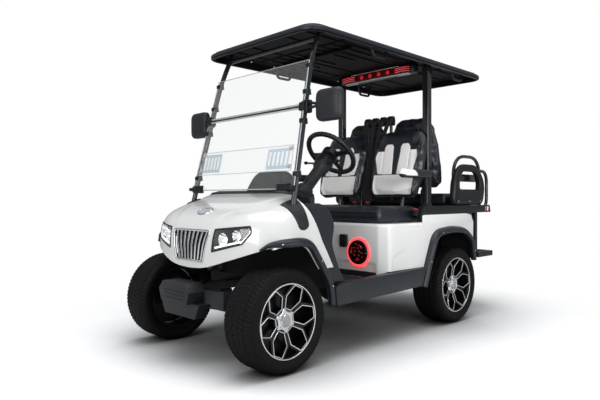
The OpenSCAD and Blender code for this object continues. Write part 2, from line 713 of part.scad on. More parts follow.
module pedals() color("#26282b") at_front() {
  difference() {
    for (y = [200, 380]) translate([floor_front + 5, y - 40, 480]) rotate([0, -14, 0]) cube([14, 80, 120]);
    toe_board();
  }
}

frame_rails();
crossmembers();
front_axle();
rear_axle();
leaf_springs();
motor();
battery();
front_bumper();
hood();
grille();
headlights();
front_flares();
rear_flares();
rockers();
floor_pan();
dashboard();
knee_panels();
pillar_covers();
windshield_posts();
windshield_bars();
upper_pane();
lower_pane();
side_mirrors();
steering_column();
pedals();
seat_pod();
rear_panel();
seat_rails();
speakers();
charging_socket();
seat_frame();
front_backrests();
front_armrests();
rear_backrests();
rear_armrests();
grab_hoops();
rear_posts();
roof();
sound_bar();
grab_handles();
rear_step();
tail_lamps();
seat_hinges();
front_cushion();
rear_cushion();
steering_wheel();
tie_rod();
knuckle_left();
knuckle_right();
tyre_front_left();
tyre_front_right();
tyre_rear_left();
tyre_rear_right();
rim_front_left();
rim_front_right();
rim_rear_left();
rim_rear_right();
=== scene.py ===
"""Looks of a four-seat golf cart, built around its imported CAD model.

Lengths in the tables are millimetres. X is measured from the front or the rear axle, Y from the middle of
the cart and Z from the ground; Shape.make turns them into the frame's metres.
"""
import math

import bmesh
import bpy
import numpy as np
from mathutils import Matrix, Vector


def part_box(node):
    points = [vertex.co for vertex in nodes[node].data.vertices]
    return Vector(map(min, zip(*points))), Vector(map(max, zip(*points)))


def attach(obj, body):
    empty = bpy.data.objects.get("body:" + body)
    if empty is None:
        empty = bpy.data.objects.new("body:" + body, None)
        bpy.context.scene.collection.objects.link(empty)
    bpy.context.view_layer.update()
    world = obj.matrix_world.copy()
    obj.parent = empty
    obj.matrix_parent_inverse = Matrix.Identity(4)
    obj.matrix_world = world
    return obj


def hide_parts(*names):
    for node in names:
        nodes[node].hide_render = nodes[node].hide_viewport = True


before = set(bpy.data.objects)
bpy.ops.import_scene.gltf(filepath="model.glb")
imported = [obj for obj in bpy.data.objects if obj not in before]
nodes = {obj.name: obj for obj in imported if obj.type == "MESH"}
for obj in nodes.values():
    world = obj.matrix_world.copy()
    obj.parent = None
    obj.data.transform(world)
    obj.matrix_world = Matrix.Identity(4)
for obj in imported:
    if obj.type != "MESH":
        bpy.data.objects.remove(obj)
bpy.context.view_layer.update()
MM = 0.001


def middle(node):
    """Middle of a CAD node's box."""
    low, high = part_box(node)
    return (low + high) / 2


FRONT = middle("tyre_front_left").x
REAR = middle("tyre_rear_left").x
AXLE_Z = middle("tyre_front_left").z / MM

# ---- camera, light and floor ---------------------------------------------------


CAMERA_PLACE = (2.978, 2.637, 0.900)
CAMERA_WAY = (-0.7007, -0.7135, -0.0038)
CAMERA_ROLL, LENS_MM, SENSOR_MM = -0.13, 32.98, 36.0
FILL_COLOUR, FILL_STRENGTH = (0.93, 0.96, 1.0, 1), 0.36
WHITE = (1, 1, 1, 1)
LAMPS = (("overhead", (0.6, 0.6, 4.6), (0, 0, 0.6), (4.5, 3.5), 120, 180),
         ("front_key", (4.4, 0.8, 2.0), (0.6, 0, 0.7), (2.2, 1.6), 50, 180),
         ("side_fill", (0.2, 4.6, 1.5), (-0.1, 0, 0.7), (3.5, 1.6), 47, 180),
         ("seat_fill", (2.0, 3.3, 1.45), (-0.4, 0.05, 1.1), (1.2, 0.8), 3.2, 32))
FLOOR_SIZE = 60
FLOOR_PALE = 0.80, 1.32
FLOOR_FADE = 1.35, 2.35
# painted shadow on the floor: its colour times ambient occlusion within this reach, raised to this power
PAINTED_SHADOW_REACH, PAINTED_SHADOW_POWER = 0.75, 1.3


def put(tree, kind, inputs=(), **settings):
    """A shader node with its settings, and its inputs given as sockets to link or as plain values."""
    node = tree.nodes.new("ShaderNode" + kind)
    for key, value in settings.items():
        setattr(node, key, value)
    for key, value in dict(inputs).items():
        if isinstance(value, bpy.types.NodeSocket):
            tree.links.new(value, node.inputs[key])
        else:
            node.inputs[key].default_value = value
    return node


def maths(tree, operation, *inputs):
    """The result of a Math node."""
    return put(tree, "Math", dict(enumerate(inputs)), operation=operation).outputs[0]


def lens_and_place():
    """The camera stands ahead of the cart's left front wheel at chest height and looks back
    along the cart."""
    data = bpy.data.cameras.new("camera")
    data.sensor_width, data.lens, data.clip_end = SENSOR_MM, LENS_MM, 100.0
    camera = bpy.data.objects.new("camera", data)
    bpy.context.scene.collection.objects.link(camera)
    camera.location = CAMERA_PLACE
    turn = Vector(CAMERA_WAY).to_track_quat("-Z", "Y").to_matrix().to_4x4()
    camera.rotation_euler = (turn @ Matrix.Rotation(math.radians(CAMERA_ROLL), 4, "Z")).to_euler()
    bpy.context.scene.camera = camera


def soft_box(name, place, aim, size, power, spread):
    """A square lamp of that size in metres, turned to face a point; its light keeps within the spread in
    degrees."""
    data = bpy.data.lights.new(name, "AREA")
    data.shape, data.size, data.size_y = "RECTANGLE", *size
    data.energy, data.spread = power, math.radians(spread)
    lamp = bpy.data.objects.new(name, data)
    bpy.context.scene.collection.objects.link(lamp)
    lamp.location = place
    lamp.rotation_euler = (Vector(aim) - Vector(place)).to_track_quat("-Z", "Y").to_euler()


def seen_directly(tree):
    """1 for rays from the camera or through glass, 0 for light that falls on a surface."""
    path = put(tree, "LightPath").outputs
    return maths(tree, "MAXIMUM", path["Is Camera Ray"], path["Is Transmission Ray"])


def surroundings():
    """White where the surroundings are seen, a plain grey light elsewhere."""
    world = bpy.data.worlds.new("studio")
    bpy.context.scene.world = world
    world.use_nodes = True
    tree = world.node_tree
    fill = tree.nodes["Background"]
    fill.inputs["Color"].default_value = FILL_COLOUR
    fill.inputs["Strength"].default_value = FILL_STRENGTH
    white = put(tree, "Background", {"Color": WHITE, "Strength": 1.0})
    mix = put(tree, "MixShader", {0: seen_directly(tree), 1: fill.outputs[0], 2: white.outputs[0]})
    tree.links.new(mix.outputs[0], tree.nodes["World Output"].inputs["Surface"])


def lay_floor():
    """A pale floor that turns plain white away from the cart; near the cart its colour is darkened by a
    painted shadow from ambient occlusion.
    """
    bpy.ops.mesh.primitive_plane_add(size=FLOOR_SIZE)
    floor = bpy.context.object
    floor.name = "floor"
    look = bpy.data.materials.new("studio_floor")
    look.use_nodes = True
    tree = look.node_tree
    tree.nodes.clear()
    seen = seen_directly(tree)
    pale = put(tree, "MapRange", {"Value": seen, "To Min": FLOOR_PALE[0], "To Max": FLOOR_PALE[1]})
    # painted shadow: ambient occlusion darkens the floor's own colour under and around the cart
    shade = put(tree, "AmbientOcclusion", {"Distance": PAINTED_SHADOW_REACH})
    painted_shadow = maths(tree, "POWER", shade.outputs["AO"], PAINTED_SHADOW_POWER)
    matt = put(tree, "BsdfDiffuse", {"Color": maths(tree, "MULTIPLY", painted_shadow, pale.outputs["Result"])})
    plain = put(tree, "Emission", {"Color": WHITE})
    away = put(tree, "VectorMath", {0: put(tree, "TexCoord").outputs["Object"]}, operation="LENGTH")
    fade = put(tree, "MapRange", {"Value": away.outputs["Value"], "From Min": FLOOR_FADE[0],
                                  "From Max": FLOOR_FADE[1]},
               interpolation_type="SMOOTHSTEP")
    share = maths(tree, "MULTIPLY", fade.outputs["Result"], seen)
    mix = put(tree, "MixShader", {0: share, 1: matt.outputs[0], 2: plain.outputs[0]})
    put(tree, "OutputMaterial", {"Surface": mix.outputs[0]})
    floor.data.materials.append(look)


lens_and_place()
surroundings()
for lamp in LAMPS:
    soft_box(*lamp)
lay_floor()
bpy.context.scene.view_settings.view_transform = "Standard"

# ---- finishes --------------------------------------------------------------------


def group(name, inputs, outputs):
    """An empty shader node group with named sockets, given as (name, socket type, default) and
    (name, type)."""
    tree = bpy.data.node_groups.new(name, "ShaderNodeTree")
    for label, kind, value in inputs:
        socket = tree.interface.new_socket(label, in_out="INPUT", socket_type="NodeSocket" + kind)
        if value is not None:
            socket.default_value = value
    for label, kind in outputs:
        tree.interface.new_socket(label, in_out="OUTPUT", socket_type="NodeSocket" + kind)
    return tree, tree.nodes.new("NodeGroupInput"), tree.nodes.new("NodeGroupOutput")


def mottle_group():
    """Slow noise that makes a colour a little lighter and darker, and its gloss a little less even."""
    tree, start, end = group(
        "mottle",
        [("Vector", "Vector", None), ("Colour", "Color", None), ("Spread", "Float", 0.1),
         ("Scale", "Float", 6.0), ("Roughness", "Float", 0.4), ("Uneven", "Float", 0.08)],
        [("Colour", "Color"), ("Roughness", "Float")])
    i, o = start.outputs, end.inputs
    noise = put(tree, "TexNoise", {"Vector": i["Vector"], "Scale": i["Scale"], "Detail": 4.0})
    centred = put(tree, "Math", {0: noise.outputs["Fac"], 1: 0.5}, operation="SUBTRACT")
    shade = put(tree, "Math", {0: centred.outputs[0], 1: i["Spread"], 2: 1.0}, operation="MULTIPLY_ADD")
    tint = put(tree, "HueSaturation", {"Color": i["Colour"], "Value": shade.outputs[0]})
    gloss = put(tree, "Math", {0: centred.outputs[0], 1: i["Uneven"], 2: i["Roughness"]},
                operation="MULTIPLY_ADD")
    tree.links.new(tint.outputs[0], o["Colour"])
    tree.links.new(gloss.outputs[0], o["Roughness"])
    return tree


def grain_group():
    """Fine moulded grain: two noises, one three times finer than the other."""
    tree, start, end = group("moulded_grain", [("Vector", "Vector", None), ("Scale", "Float", 600.0)],
                             [("Height", "Float")])
    i = start.outputs
    fine = put(tree, "Math", {0: i["Scale"], 1: 3.0}, operation="MULTIPLY")
    a = put(tree, "TexNoise", {"Vector": i["Vector"], "Scale": i["Scale"], "Detail": 2.0})
    b = put(tree, "TexNoise", {"Vector": i["Vector"], "Scale": fine.outputs[0], "Detail": 1.0})
    total = put(tree, "Math", {0: a.outputs["Fac"], 1: b.outputs["Fac"]}, operation="ADD")
    tree.links.new(total.outputs[0], end.inputs["Height"])
    return tree


def leather_group():
    """Pebbled vinyl: rounded cells from a cell pattern, warped a little by noise."""
    tree, start, end = group("vinyl_pebble", [("Vector", "Vector", None), ("Scale", "Float", 420.0)],
                             [("Height", "Float")])
    i = start.outputs
    warp = put(tree, "TexNoise", {"Vector": i["Vector"], "Scale": 60.0, "Detail": 2.0})
    moved = put(tree, "VectorMath", {0: warp.outputs["Color"], 1: (0.004, 0.004, 0.004), 2: i["Vector"]},
                operation="MULTIPLY_ADD")
    cells = put(tree, "TexVoronoi", {"Vector": moved.outputs[0], "Scale": i["Scale"]}, feature="SMOOTH_F1")
    tree.links.new(cells.outputs["Distance"], end.inputs["Height"])
    return tree


def dust_group():
    """Pale dust that gathers low down: its share falls from Amount at the ground to nothing at
    Reach metres."""
    tree, start, end = group(
        "road_dust",
        [("Vector", "Vector", None), ("Colour", "Color", None), ("Dust", "Color", (0.20, 0.19, 0.17, 1)),
         ("Amount", "Float", 0.3), ("Reach", "Float", 0.6)],
        [("Colour", "Color"), ("Share", "Float")])
    i = start.outputs
    height = put(tree, "SeparateXYZ", {0: i["Vector"]})
    low = put(tree, "MapRange", {"Value": height.outputs["Z"], "From Min": 0.0, "From Max": i["Reach"],
                                 "To Min": i["Amount"], "To Max": 0.0})
    noise = put(tree, "TexNoise", {"Vector": i["Vector"], "Scale": 14.0, "Detail": 6.0})
    share = put(tree, "Math", {0: low.outputs[0], 1: noise.outputs["Fac"]}, operation="MULTIPLY")
    mix = put(tree, "MixRGB", {"Fac": share.outputs[0], "Color1": i["Colour"], "Color2": i["Dust"]})
    tree.links.new(mix.outputs[0], end.inputs["Colour"])
    tree.links.new(share.outputs[0], end.inputs["Share"])
    return tree


def weave_group():
    """Flat webbing: fine ribs along one axis crossed by finer ones."""
    tree, start, end = group("webbing", [("Vector", "Vector", None), ("Scale", "Float", 160.0)],
                             [("Height", "Float")])
    i = start.outputs
    along = put(tree, "TexWave", {"Vector": i["Vector"], "Scale": i["Scale"]}, bands_direction="Z")
    over = put(tree, "TexWave", {"Vector": i["Vector"], "Scale": i["Scale"]}, bands_direction="Y")
    total = put(tree, "Math", {0: along.outputs["Fac"], 1: over.outputs["Fac"]}, operation="MULTIPLY")
    tree.links.new(total.outputs[0], end.inputs["Height"])
    return tree


MOTTLE, GRAIN, PEBBLE = mottle_group(), grain_group(), leather_group()
DUST, WEBBING = dust_group(), weave_group()


COAT_ROUGHNESS = 0.04
MOTTLE_SCALE, GLOW_SCALE = 5.0, 20.0


def finish(name, colour, rough, metal=0.0, coat=0.0, specular=0.5, spread=0.12, uneven=0.08, relief=GRAIN,
           scale=600.0,
           height=0.0002, dust=0.0, glow=0.0, glow_colour=None, clear=0.0, second=None):
    """A Principled surface: colour and gloss from mottle, relief from a grain group, dirt from dust.

    second is a colour that takes over where the piece's own attribute `panel` is above zero.
    """
    look = bpy.data.materials.new(name)
    look.use_nodes = True
    tree = look.node_tree
    skin = tree.nodes["Principled BSDF"]
    where = put(tree, "TexCoord").outputs["Object"]
    base = put(tree, "Group", node_tree=MOTTLE)
    tree.links.new(where, base.inputs["Vector"])
    for key, value in (("Spread", spread), ("Roughness", rough), ("Uneven", uneven), ("Scale", MOTTLE_SCALE)):
        base.inputs[key].default_value = value
    base.inputs["Colour"].default_value = (*colour, 1)
    if second:
        attribute = put(tree, "Attribute", attribute_name="panel")
        side = put(tree, "MapRange", {"Value": attribute.outputs["Fac"], "From Min": -0.4, "From Max": 0.4})
        two = put(tree, "MixRGB", {"Fac": side.outputs[0], "Color1": (*colour, 1), "Color2": (*second, 1)})
        tree.links.new(two.outputs[0], base.inputs["Colour"])
    top = base.outputs["Colour"]
    if dust:
        dirt = put(tree, "Group", node_tree=DUST)
        tree.links.new(where, dirt.inputs["Vector"])
        tree.links.new(top, dirt.inputs["Colour"])
        dirt.inputs["Amount"].default_value = dust
        top = dirt.outputs["Colour"]
    tree.links.new(top, skin.inputs["Base Color"])
    tree.links.new(base.outputs["Roughness"], skin.inputs["Roughness"])
    for key, value in (("Metallic", metal), ("Coat Weight", coat), ("Coat Roughness", COAT_ROUGHNESS),
                       ("Specular IOR Level", specular), ("Transmission Weight", clear)):
        skin.inputs[key].default_value = value
    if relief:
        bumps = put(tree, "Group", node_tree=relief)
        tree.links.new(where, bumps.inputs["Vector"])
        bumps.inputs["Scale"].default_value = scale
        bump = put(tree, "Bump", {"Height": bumps.outputs["Height"], "Distance": height, "Strength": 1.0})
        tree.links.new(bump.outputs[0], skin.inputs["Normal"])
    if glow:
        skin.inputs["Emission Strength"].default_value = glow
        tint = put(tree, "Group", node_tree=MOTTLE)
        tree.links.new(where, tint.inputs["Vector"])
        tint.inputs["Colour"].default_value = (*(glow_colour or colour), 1)
        tint.inputs["Scale"].default_value = GLOW_SCALE
        tree.links.new(tint.outputs["Colour"], skin.inputs["Emission Color"])
    return look


PAINT = finish("white_paint", (0.80, 0.80, 0.79), 0.30, coat=1.0, spread=0.03, uneven=0.04, scale=120,
               height=0.00003)
FLARE = finish("flare_black", (0.0095, 0.013, 0.019), 0.36, spread=0.3, scale=900, height=0.00008, dust=0.05)
MOULD = finish("moulded_grey", (0.013, 0.015, 0.019), 0.46, specular=0.4, spread=0.25, scale=700,
               height=0.00015, dust=0.03)
TRIM = finish("trim_black", (0.006, 0.007, 0.0085), 0.40, specular=0.35, spread=0.3, scale=800, height=0.0001)
TUBE = finish("tube_black", (0.010, 0.010, 0.012), 0.24, coat=0.4, spread=0.3, scale=300, height=0.00003)
# roof underside: its rougher, less glossy finish is the moulding's texture, and its darker colour than the
# top is painted shade
PAINTED_SHADE_UNDERSIDE = finish("roof_underside_painted_shade", (0.0035, 0.0035, 0.004), 0.6, specular=0.12, spread=0.3, scale=500,
               height=0.00012)
ROOF = finish("roof_black", (0.009, 0.0115, 0.018), 0.36, spread=0.3, scale=500, height=0.00008)
CHROME = finish("chrome", (0.80, 0.81, 0.82), 0.10, metal=1.0, spread=0.06, scale=200, height=0.00001)
MACHINED = finish("machined_alloy", (0.82, 0.83, 0.84), 0.26, metal=1.0, spread=0.1, scale=900,
                  height=0.00003)
RIM = finish("rim_black", (0.003, 0.003, 0.0035), 0.30, specular=0.3, spread=0.3, scale=400, height=0.00003,
             dust=0.005)
TYRE = finish("tyre_rubber", (0.0030, 0.0032, 0.0038), 0.60, specular=0.17, spread=0.4, uneven=0.12,
              scale=500, height=0.0002, dust=0.012)
VINYL = finish("black_vinyl", (0.007, 0.010, 0.015), 0.40, spread=0.25, relief=PEBBLE, scale=420,
               height=0.00025)
TWO_TONE = finish("two_tone_vinyl", (0.007, 0.010, 0.015), 0.35, spread=0.12, relief=PEBBLE, scale=420,
                  height=0.00022, second=(0.84, 0.83, 0.81))
IRON = finish("cast_iron", (0.014, 0.014, 0.016), 0.62, metal=0.3, spread=0.5, scale=300, height=0.0006,
              dust=0.06)
CASE = finish("battery_case", (0.05, 0.055, 0.06), 0.55, spread=0.3, scale=400, height=0.0002)
MATTING = finish("floor_rubber", (0.020, 0.020, 0.022), 0.75, specular=0.3, spread=0.5, scale=350,
                 height=0.0005, dust=0.2)
STRAP = finish("belt_webbing", (0.014, 0.014, 0.016), 0.7, specular=0.3, spread=0.3, relief=WEBBING,
               scale=160, height=0.0005)
LENS = finish("clear_lens", (0.97, 0.98, 1.0), 0.02, spread=0.01, uneven=0.01, clear=1.0, relief=None)
GLASS = finish("clear_acrylic", (0.975, 0.985, 0.985), 0.01, spread=0.01, uneven=0.01, clear=1.0, relief=None)
MIRROR = finish("mirror_glass", (0.88, 0.90, 0.92), 0.03, metal=1.0, spread=0.02, uneven=0.01, relief=None)
LAMP = finish("white_lamp", (0.9, 0.9, 0.9), 0.3, glow=1.2, glow_colour=(1.0, 0.98, 0.94), spread=0.02,
              relief=None)
RED_GLOW = finish("red_glow", (0.9, 0.06, 0.06), 0.3, glow=1.4, glow_colour=(1.0, 0.07, 0.08), spread=0.1,
                  relief=None)
RED_LENS = finish("red_lens", (0.30, 0.004, 0.006), 0.15, coat=1.0, glow=0.15, glow_colour=(1.0, 0.02, 0.02),
                  spread=0.2, relief=None)
DEEP_RED = finish("deep_red_face", (0.030, 0.0015, 0.002), 0.2, glow=0.018, glow_colour=(1.0, 0.02, 0.03),
                  spread=0.2, relief=None)
DIM_RED = finish("dim_red_light", (0.30, 0.008, 0.010), 0.3, glow=0.30, glow_colour=(1.0, 0.02, 0.03),
                 spread=0.2, relief=None)
PINK_RED = finish("pink_red_stripe", (0.60, 0.10, 0.12), 0.3, glow=0.45, glow_colour=(1.0, 0.08, 0.12),
                  spread=0.1, relief=None)
BUCKLE = finish("buckle_red", (0.55, 0.03, 0.02), 0.4, spread=0.1, scale=800, height=0.00005)
BADGE = finish("badge_enamel", (0.50, 0.54, 0.62), 0.2, coat=1.0, spread=0.3, uneven=0.05, relief=None)
FROST = finish("frosted_acrylic", (0.52, 0.60, 0.65), 0.5, spread=0.1, scale=500, height=0.0001)
PALE = finish("pale_slot", (0.86, 0.88, 0.89), 0.4, spread=0.02, scale=500, height=0.00005)
GREY_STRIP = finish("grey_strip", (0.42, 0.42, 0.42), 0.4, spread=0.1, scale=600, height=0.0001)

# ---- shape tools -------------------------------------------------------------------


def unit(v):
    """Vectors brought to length 1."""
    return v / np.maximum(np.linalg.norm(v, axis=-1, keepdims=True), 1e-12)


def step(x, low, high):
    """0 below low, 1 above high, and t*t*(3-2t) between."""
    t = np.clip((x - low) / (high - low), 0, 1)
    return t * t * (3 - 2 * t)


def rounded(points, radius, n=7, closed=False):
    """A line through its corners. Corner B becomes (1-s)^2 A + 2s(1-s) B + s^2 C, where A and C lie `radius`
    away on the two sides."""
    p = np.asarray(points, float)

    def toward(q):
        d = q - p
        length = np.maximum(np.linalg.norm(d, axis=1, keepdims=True), 1e-9)
        return p + d / length * np.minimum(radius, 0.48 * length)
    a, c = toward(np.roll(p, 1, 0)), toward(np.roll(p, -1, 0))
    s = np.linspace(0, 1, n)[None, :, None]
    arcs = (1 - s) ** 2 * a[:, None] + 2 * s * (1 - s) * p[:, None] + s * s * c[:, None]
    if closed:
        return arcs.reshape(-1, p.shape[1])
    return np.concatenate([p[:1], arcs[1:-1].reshape(-1, p.shape[1]), p[-1:]])


def evenly(path, n, closed=False):
    """The same line with n points at equal steps of length."""
    path = np.asarray(path, float)
    if closed:
        path = np.concatenate([path, path[:1]])
    run = np.concatenate([[0], np.cumsum(np.linalg.norm(np.diff(path, axis=0), axis=1))])
    at = np.linspace(0, run[-1], n + 1)[:-1] if closed else np.linspace(0, run[-1], n)
    return np.stack([np.interp(at, run, path[:, k]) for k in range(path.shape[1])], 1)


def turns(n):
    """n angles at equal steps once round."""
    return np.arange(n) * 2 * math.pi / n


def signed(t, power):
    """t raised to a power with its sign kept: sign(t) |t|^p."""
    return np.sign(t) * np.abs(t) ** power


def circle(r, n=16):
    """Outline (r cos t, r sin t)."""
    t = turns(n)
    return np.stack([r * np.cos(t), r * np.sin(t)], 1)


def oval(w, h, power=2.0, n=32):
    """Superellipse |x/w|^p + |y/h|^p = 1 with half sizes w and h."""
    t = turns(n)
    return np.stack([w * signed(np.cos(t), 2 / power), h * signed(np.sin(t), 2 / power)], 1)


def rectangle(w, h, r, n=6):
    """Outline of a rectangle of full sizes w and h with round corners."""
    return rounded([[w / 2, -h / 2], [w / 2, h / 2], [-w / 2, h / 2], [-w / 2, -h / 2]], r, n, closed=True)


def sweep(path, profile, up, closed=False, grow=1.0):
    """A profile carried along a path: its first axis lies along tangent x up, its second along the remaining
    one, and it is scaled by grow."""
    path, profile = np.asarray(path, float), np.asarray(profile, float)
    if closed:
        tangent = unit(np.roll(path, -1, 0) - np.roll(path, 1, 0))
    else:
        tangent = unit(np.gradient(path, axis=0))
    side = unit(np.cross(tangent, np.asarray(up, float)))
    over = np.cross(side, tangent)
    grow = np.broadcast_to(grow, len(path))[:, None, None]
    return path[:, None] + grow * (profile[None, :, :1] * side[:, None]
                                   + profile[None, :, 1:2] * over[:, None])


def shrunk(outline, d):
    """The outline moved inwards by d along its normals. The outline runs anticlockwise."""
    t = unit(np.roll(outline, -1, 0) - np.roll(outline, 1, 0))
    return outline - d * np.stack([t[:, 1], -t[:, 0]], 1)


def plate(outline, low, high, edge, n=3):
    """Rings of a flat plate: quarter-circle edges of radius `edge` at both faces. The last coordinate is the
    height."""
    outline = np.asarray(outline, float)
    area = np.sum(outline[:, 0] * np.roll(outline[:, 1], -1) - outline[:, 1] * np.roll(outline[:, 0], -1))
    if area < 0:
        outline = outline[::-1]
    t = np.linspace(0, math.pi / 2, n + 1)
    inset = edge * (1 - np.sin(t))
    rise = edge * (1 - np.cos(t))
    rings = [np.column_stack([shrunk(outline, i), np.full(len(outline), low + h)]) for i,
             h in zip(inset, rise)]
    rings += [np.column_stack([shrunk(outline, i), np.full(len(outline), high - h)]) for i,
              h in zip(inset[::-1], rise[::-1])]
    return np.stack(rings)


def flat(p):
    """Outline in X and Y, height along Z."""
    return p


def across(p):
    """Outline in X and Z, height along Y."""
    return p[..., [0, 2, 1]]


def facing(p):
    """Outline in Y and Z, height along X."""
    return p[..., [2, 0, 1]]


class Shape:
    """Points and faces of one piece, gathered from grids, in millimetres from one axle."""

    def __init__(self, axle):
        self.axle, self.points, self.faces, self.count = axle, [], [], 0

    def grid(self, p, around=False, loop=False, caps=False):
        """Joins the points of a grid (rows, columns).

        around closes each row, loop joins the last row to the first and caps fills the end rows.
        """
        m, n = p.shape[:2]
        index = np.arange(m * n).reshape(m, n) + self.count
        ends = [index[0][None], index[-1][::-1][None]]
        if around:
            index = np.hstack([index, index[:, :1]])
        if loop:
            index = np.vstack([index, index[:1]])
        quads = np.stack([index[:-1, :-1], index[1:, :-1], index[1:, 1:], index[:-1, 1:]], -1)
        self.faces.append(quads.reshape(-1, 4))
        if caps:
            self.faces += ends
        self.points.append(p.reshape(-1, 3))
        self.count += m * n
        return self

    def solid(self, rings):
        """Rings of points, joined one to the next and closed at both ends."""
        return self.grid(rings, around=True, caps=True)

    def ring(self, rings):
        """Rings of points, joined one to the next and the last one to the first."""
        return self.grid(rings, around=True, loop=True)

    def plate(self, outline, low, high, edge, place=across):
        """A flat plate with soft edges, put in place by across, facing or flat."""
        return self.solid(place(plate(outline, low, high, edge)))

    def tube(self, path, r, up=(0, 1, 0), n=16):
        """A bar along a path, of radius r or with the section r."""
        return self.solid(sweep(path, circle(r, n) if np.isscalar(r) else r, up))

    def dome(self, place, r, depth, axis, n=20, power=2.0):
        """A round cap: radius r*sin(t)^(2/p), height depth*cos(t)^(2/p), facing along an axis."""
        t = np.linspace(0, math.pi / 2, 8)[:, None]
        f = turns(n)[None]
        wide, high = r * np.sin(t) ** (2 / power), depth * np.cos(t) ** (2 / power)
        local = np.stack(np.broadcast_arrays(wide * np.cos(f), wide * np.sin(f), high), -1)
        w = unit(np.asarray(axis, float))
        u = unit(np.cross(w, [0.3, 0.2, 0.9]))
        v = np.cross(w, u)
        p = np.asarray(place, float) + local[..., :1] * u + local[..., 1:2] * v + local[..., 2:] * w
        return self.grid(p, around=True).fill(p[-1])

    def fill(self, ring):
        """A face across a ring of points."""
        self.points.append(ring.reshape(-1, 3))
        self.faces.append(np.arange(len(ring))[None] + self.count)
        self.count += len(ring)
        return self

    def mirrored(self):
        """Adds the other half: the same points with Y turned round."""
        p = np.concatenate(self.points)
        self.points = [p, p * [1, -1, 1]]
        self.faces += [f[:, ::-1] + self.count for f in self.faces]
        self.count *= 2
        return self

    def mesh(self, name):
        """The piece's mesh, in the frame's metres."""
        mesh = bpy.data.meshes.new(name)
        points = np.concatenate(self.points) * MM + [self.axle, 0, 0]
        loops = np.concatenate([f.ravel() for f in self.faces])
        sizes = np.concatenate([np.full(len(f), f.shape[1]) for f in self.faces])
        mesh.vertices.add(len(points))
        mesh.vertices.foreach_set("co", points.astype(np.float32).ravel())
        mesh.loops.add(len(loops))
        mesh.loops.foreach_set("vertex_index", loops.astype(np.int32))
        mesh.polygons.add(len(sizes))
        mesh.polygons.foreach_set("loop_start", (np.cumsum(sizes) - sizes).astype(np.int32))
        mesh.update(calc_edges=True)
        tidy(mesh)
        return mesh

    def make(self, name, looks, body="chassis", slot=None, replaces=(), smooth=35):
        """The piece itself, dressed."""
        return dress(bpy.data.objects.new(name, self.mesh(name)), looks, body, replaces, smooth)


def tidy(mesh):
    """Merges points that coincide and turns every closed surface's faces outwards."""
    bm = bmesh.new()
    bm.from_mesh(mesh)
    bmesh.ops.remove_doubles(bm, verts=bm.verts, dist=1e-6)
    bmesh.ops.dissolve_degenerate(bm, edges=bm.edges, dist=1e-7)
    bmesh.ops.recalc_face_normals(bm, faces=bm.faces)
    bm.to_mesh(mesh)
    bm.free()


def dress(obj, looks, body="chassis", replaces=(), smooth=35):
    """Links a piece, gives it its finishes, hangs it on the empty of the body it rides on and hides the CAD
    nodes it replaces.

    Edges sharper than `smooth` degrees stay sharp.
    """
    if obj.name not in bpy.context.scene.collection.objects:
        bpy.context.scene.collection.objects.link(obj)
    obj.data.materials.clear()
    for look in looks if isinstance(looks, (list, tuple)) else [looks]:
        obj.data.materials.append(look)
    obj.data.shade_smooth()
    if smooth < 180:
        obj.data.set_sharp_from_angle(angle=math.radians(smooth))
    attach(obj, body)
    if replaces:
        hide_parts(*replaces)
    return obj


def bake(obj):
    """Puts a piece's modifiers into its mesh."""
    bpy.context.view_layer.update()
    result = bpy.data.meshes.new_from_object(obj.evaluated_get(bpy.context.evaluated_depsgraph_get()))
    obj.modifiers.clear()
    obj.data = result


def carve(shape, name, cutters):
    """The shape's mesh with other closed shapes cut out of it."""
    obj = bpy.data.objects.new(name, shape.mesh(name))
    bpy.context.scene.collection.objects.link(obj)
    tools = []
    for k, cutter in enumerate(cutters):
        tool = bpy.data.objects.new(f"cutter_{k}", cutter.mesh(f"cutter_{k}"))
        bpy.context.scene.collection.objects.link(tool)
        cut = obj.modifiers.new(f"cut_{k}", "BOOLEAN")
        cut.operation, cut.solver, cut.object = "DIFFERENCE", "EXACT", tool
        tools.append(tool)
    bake(obj)
    for tool in tools:
        bpy.data.objects.remove(tool)
    return obj


def softened(node, look, width, segments=3):
    """A copy of a CAD node with its flat faces joined up and every sharp edge rounded by width
    millimetres."""
    mesh = nodes[node].data.copy()
    obj = bpy.data.objects.new(node + "_moulded", mesh)
    bm = bmesh.new()
    bm.from_mesh(mesh)
    bmesh.ops.remove_doubles(bm, verts=bm.verts, dist=2e-5)
    bmesh.ops.dissolve_limit(bm, angle_limit=math.radians(1.0), verts=bm.verts, edges=bm.edges)
    bmesh.ops.recalc_face_normals(bm, faces=bm.faces)
    bm.to_mesh(mesh)
    bm.free()
    dress(obj, look, "chassis", (node,), 180)
    bevel = obj.modifiers.new("edges", "BEVEL")
    bevel.width, bevel.segments, bevel.limit_method = width * MM, segments, "ANGLE"
    bevel.angle_limit, bevel.harden_normals = math.radians(28), True
    return obj


def thick(p, d):
    """A sheet of points (rows, columns) with thickness: the same points moved by d, joined round the rim."""
    return np.concatenate([p, (p + d)[:, ::-1]], axis=1)


def polar(outline, centre, angles):
    """Distance from the centre to a closed outline at each angle."""
    q = evenly(outline, 720, closed=True) - centre
    at = np.arctan2(q[:, 1], q[:, 0])
    order = np.argsort(at)
    return np.interp(angles, at[order], np.linalg.norm(q, axis=1)[order], period=2 * math.pi)


# ---- painted nose --------------------------------------------------------------------

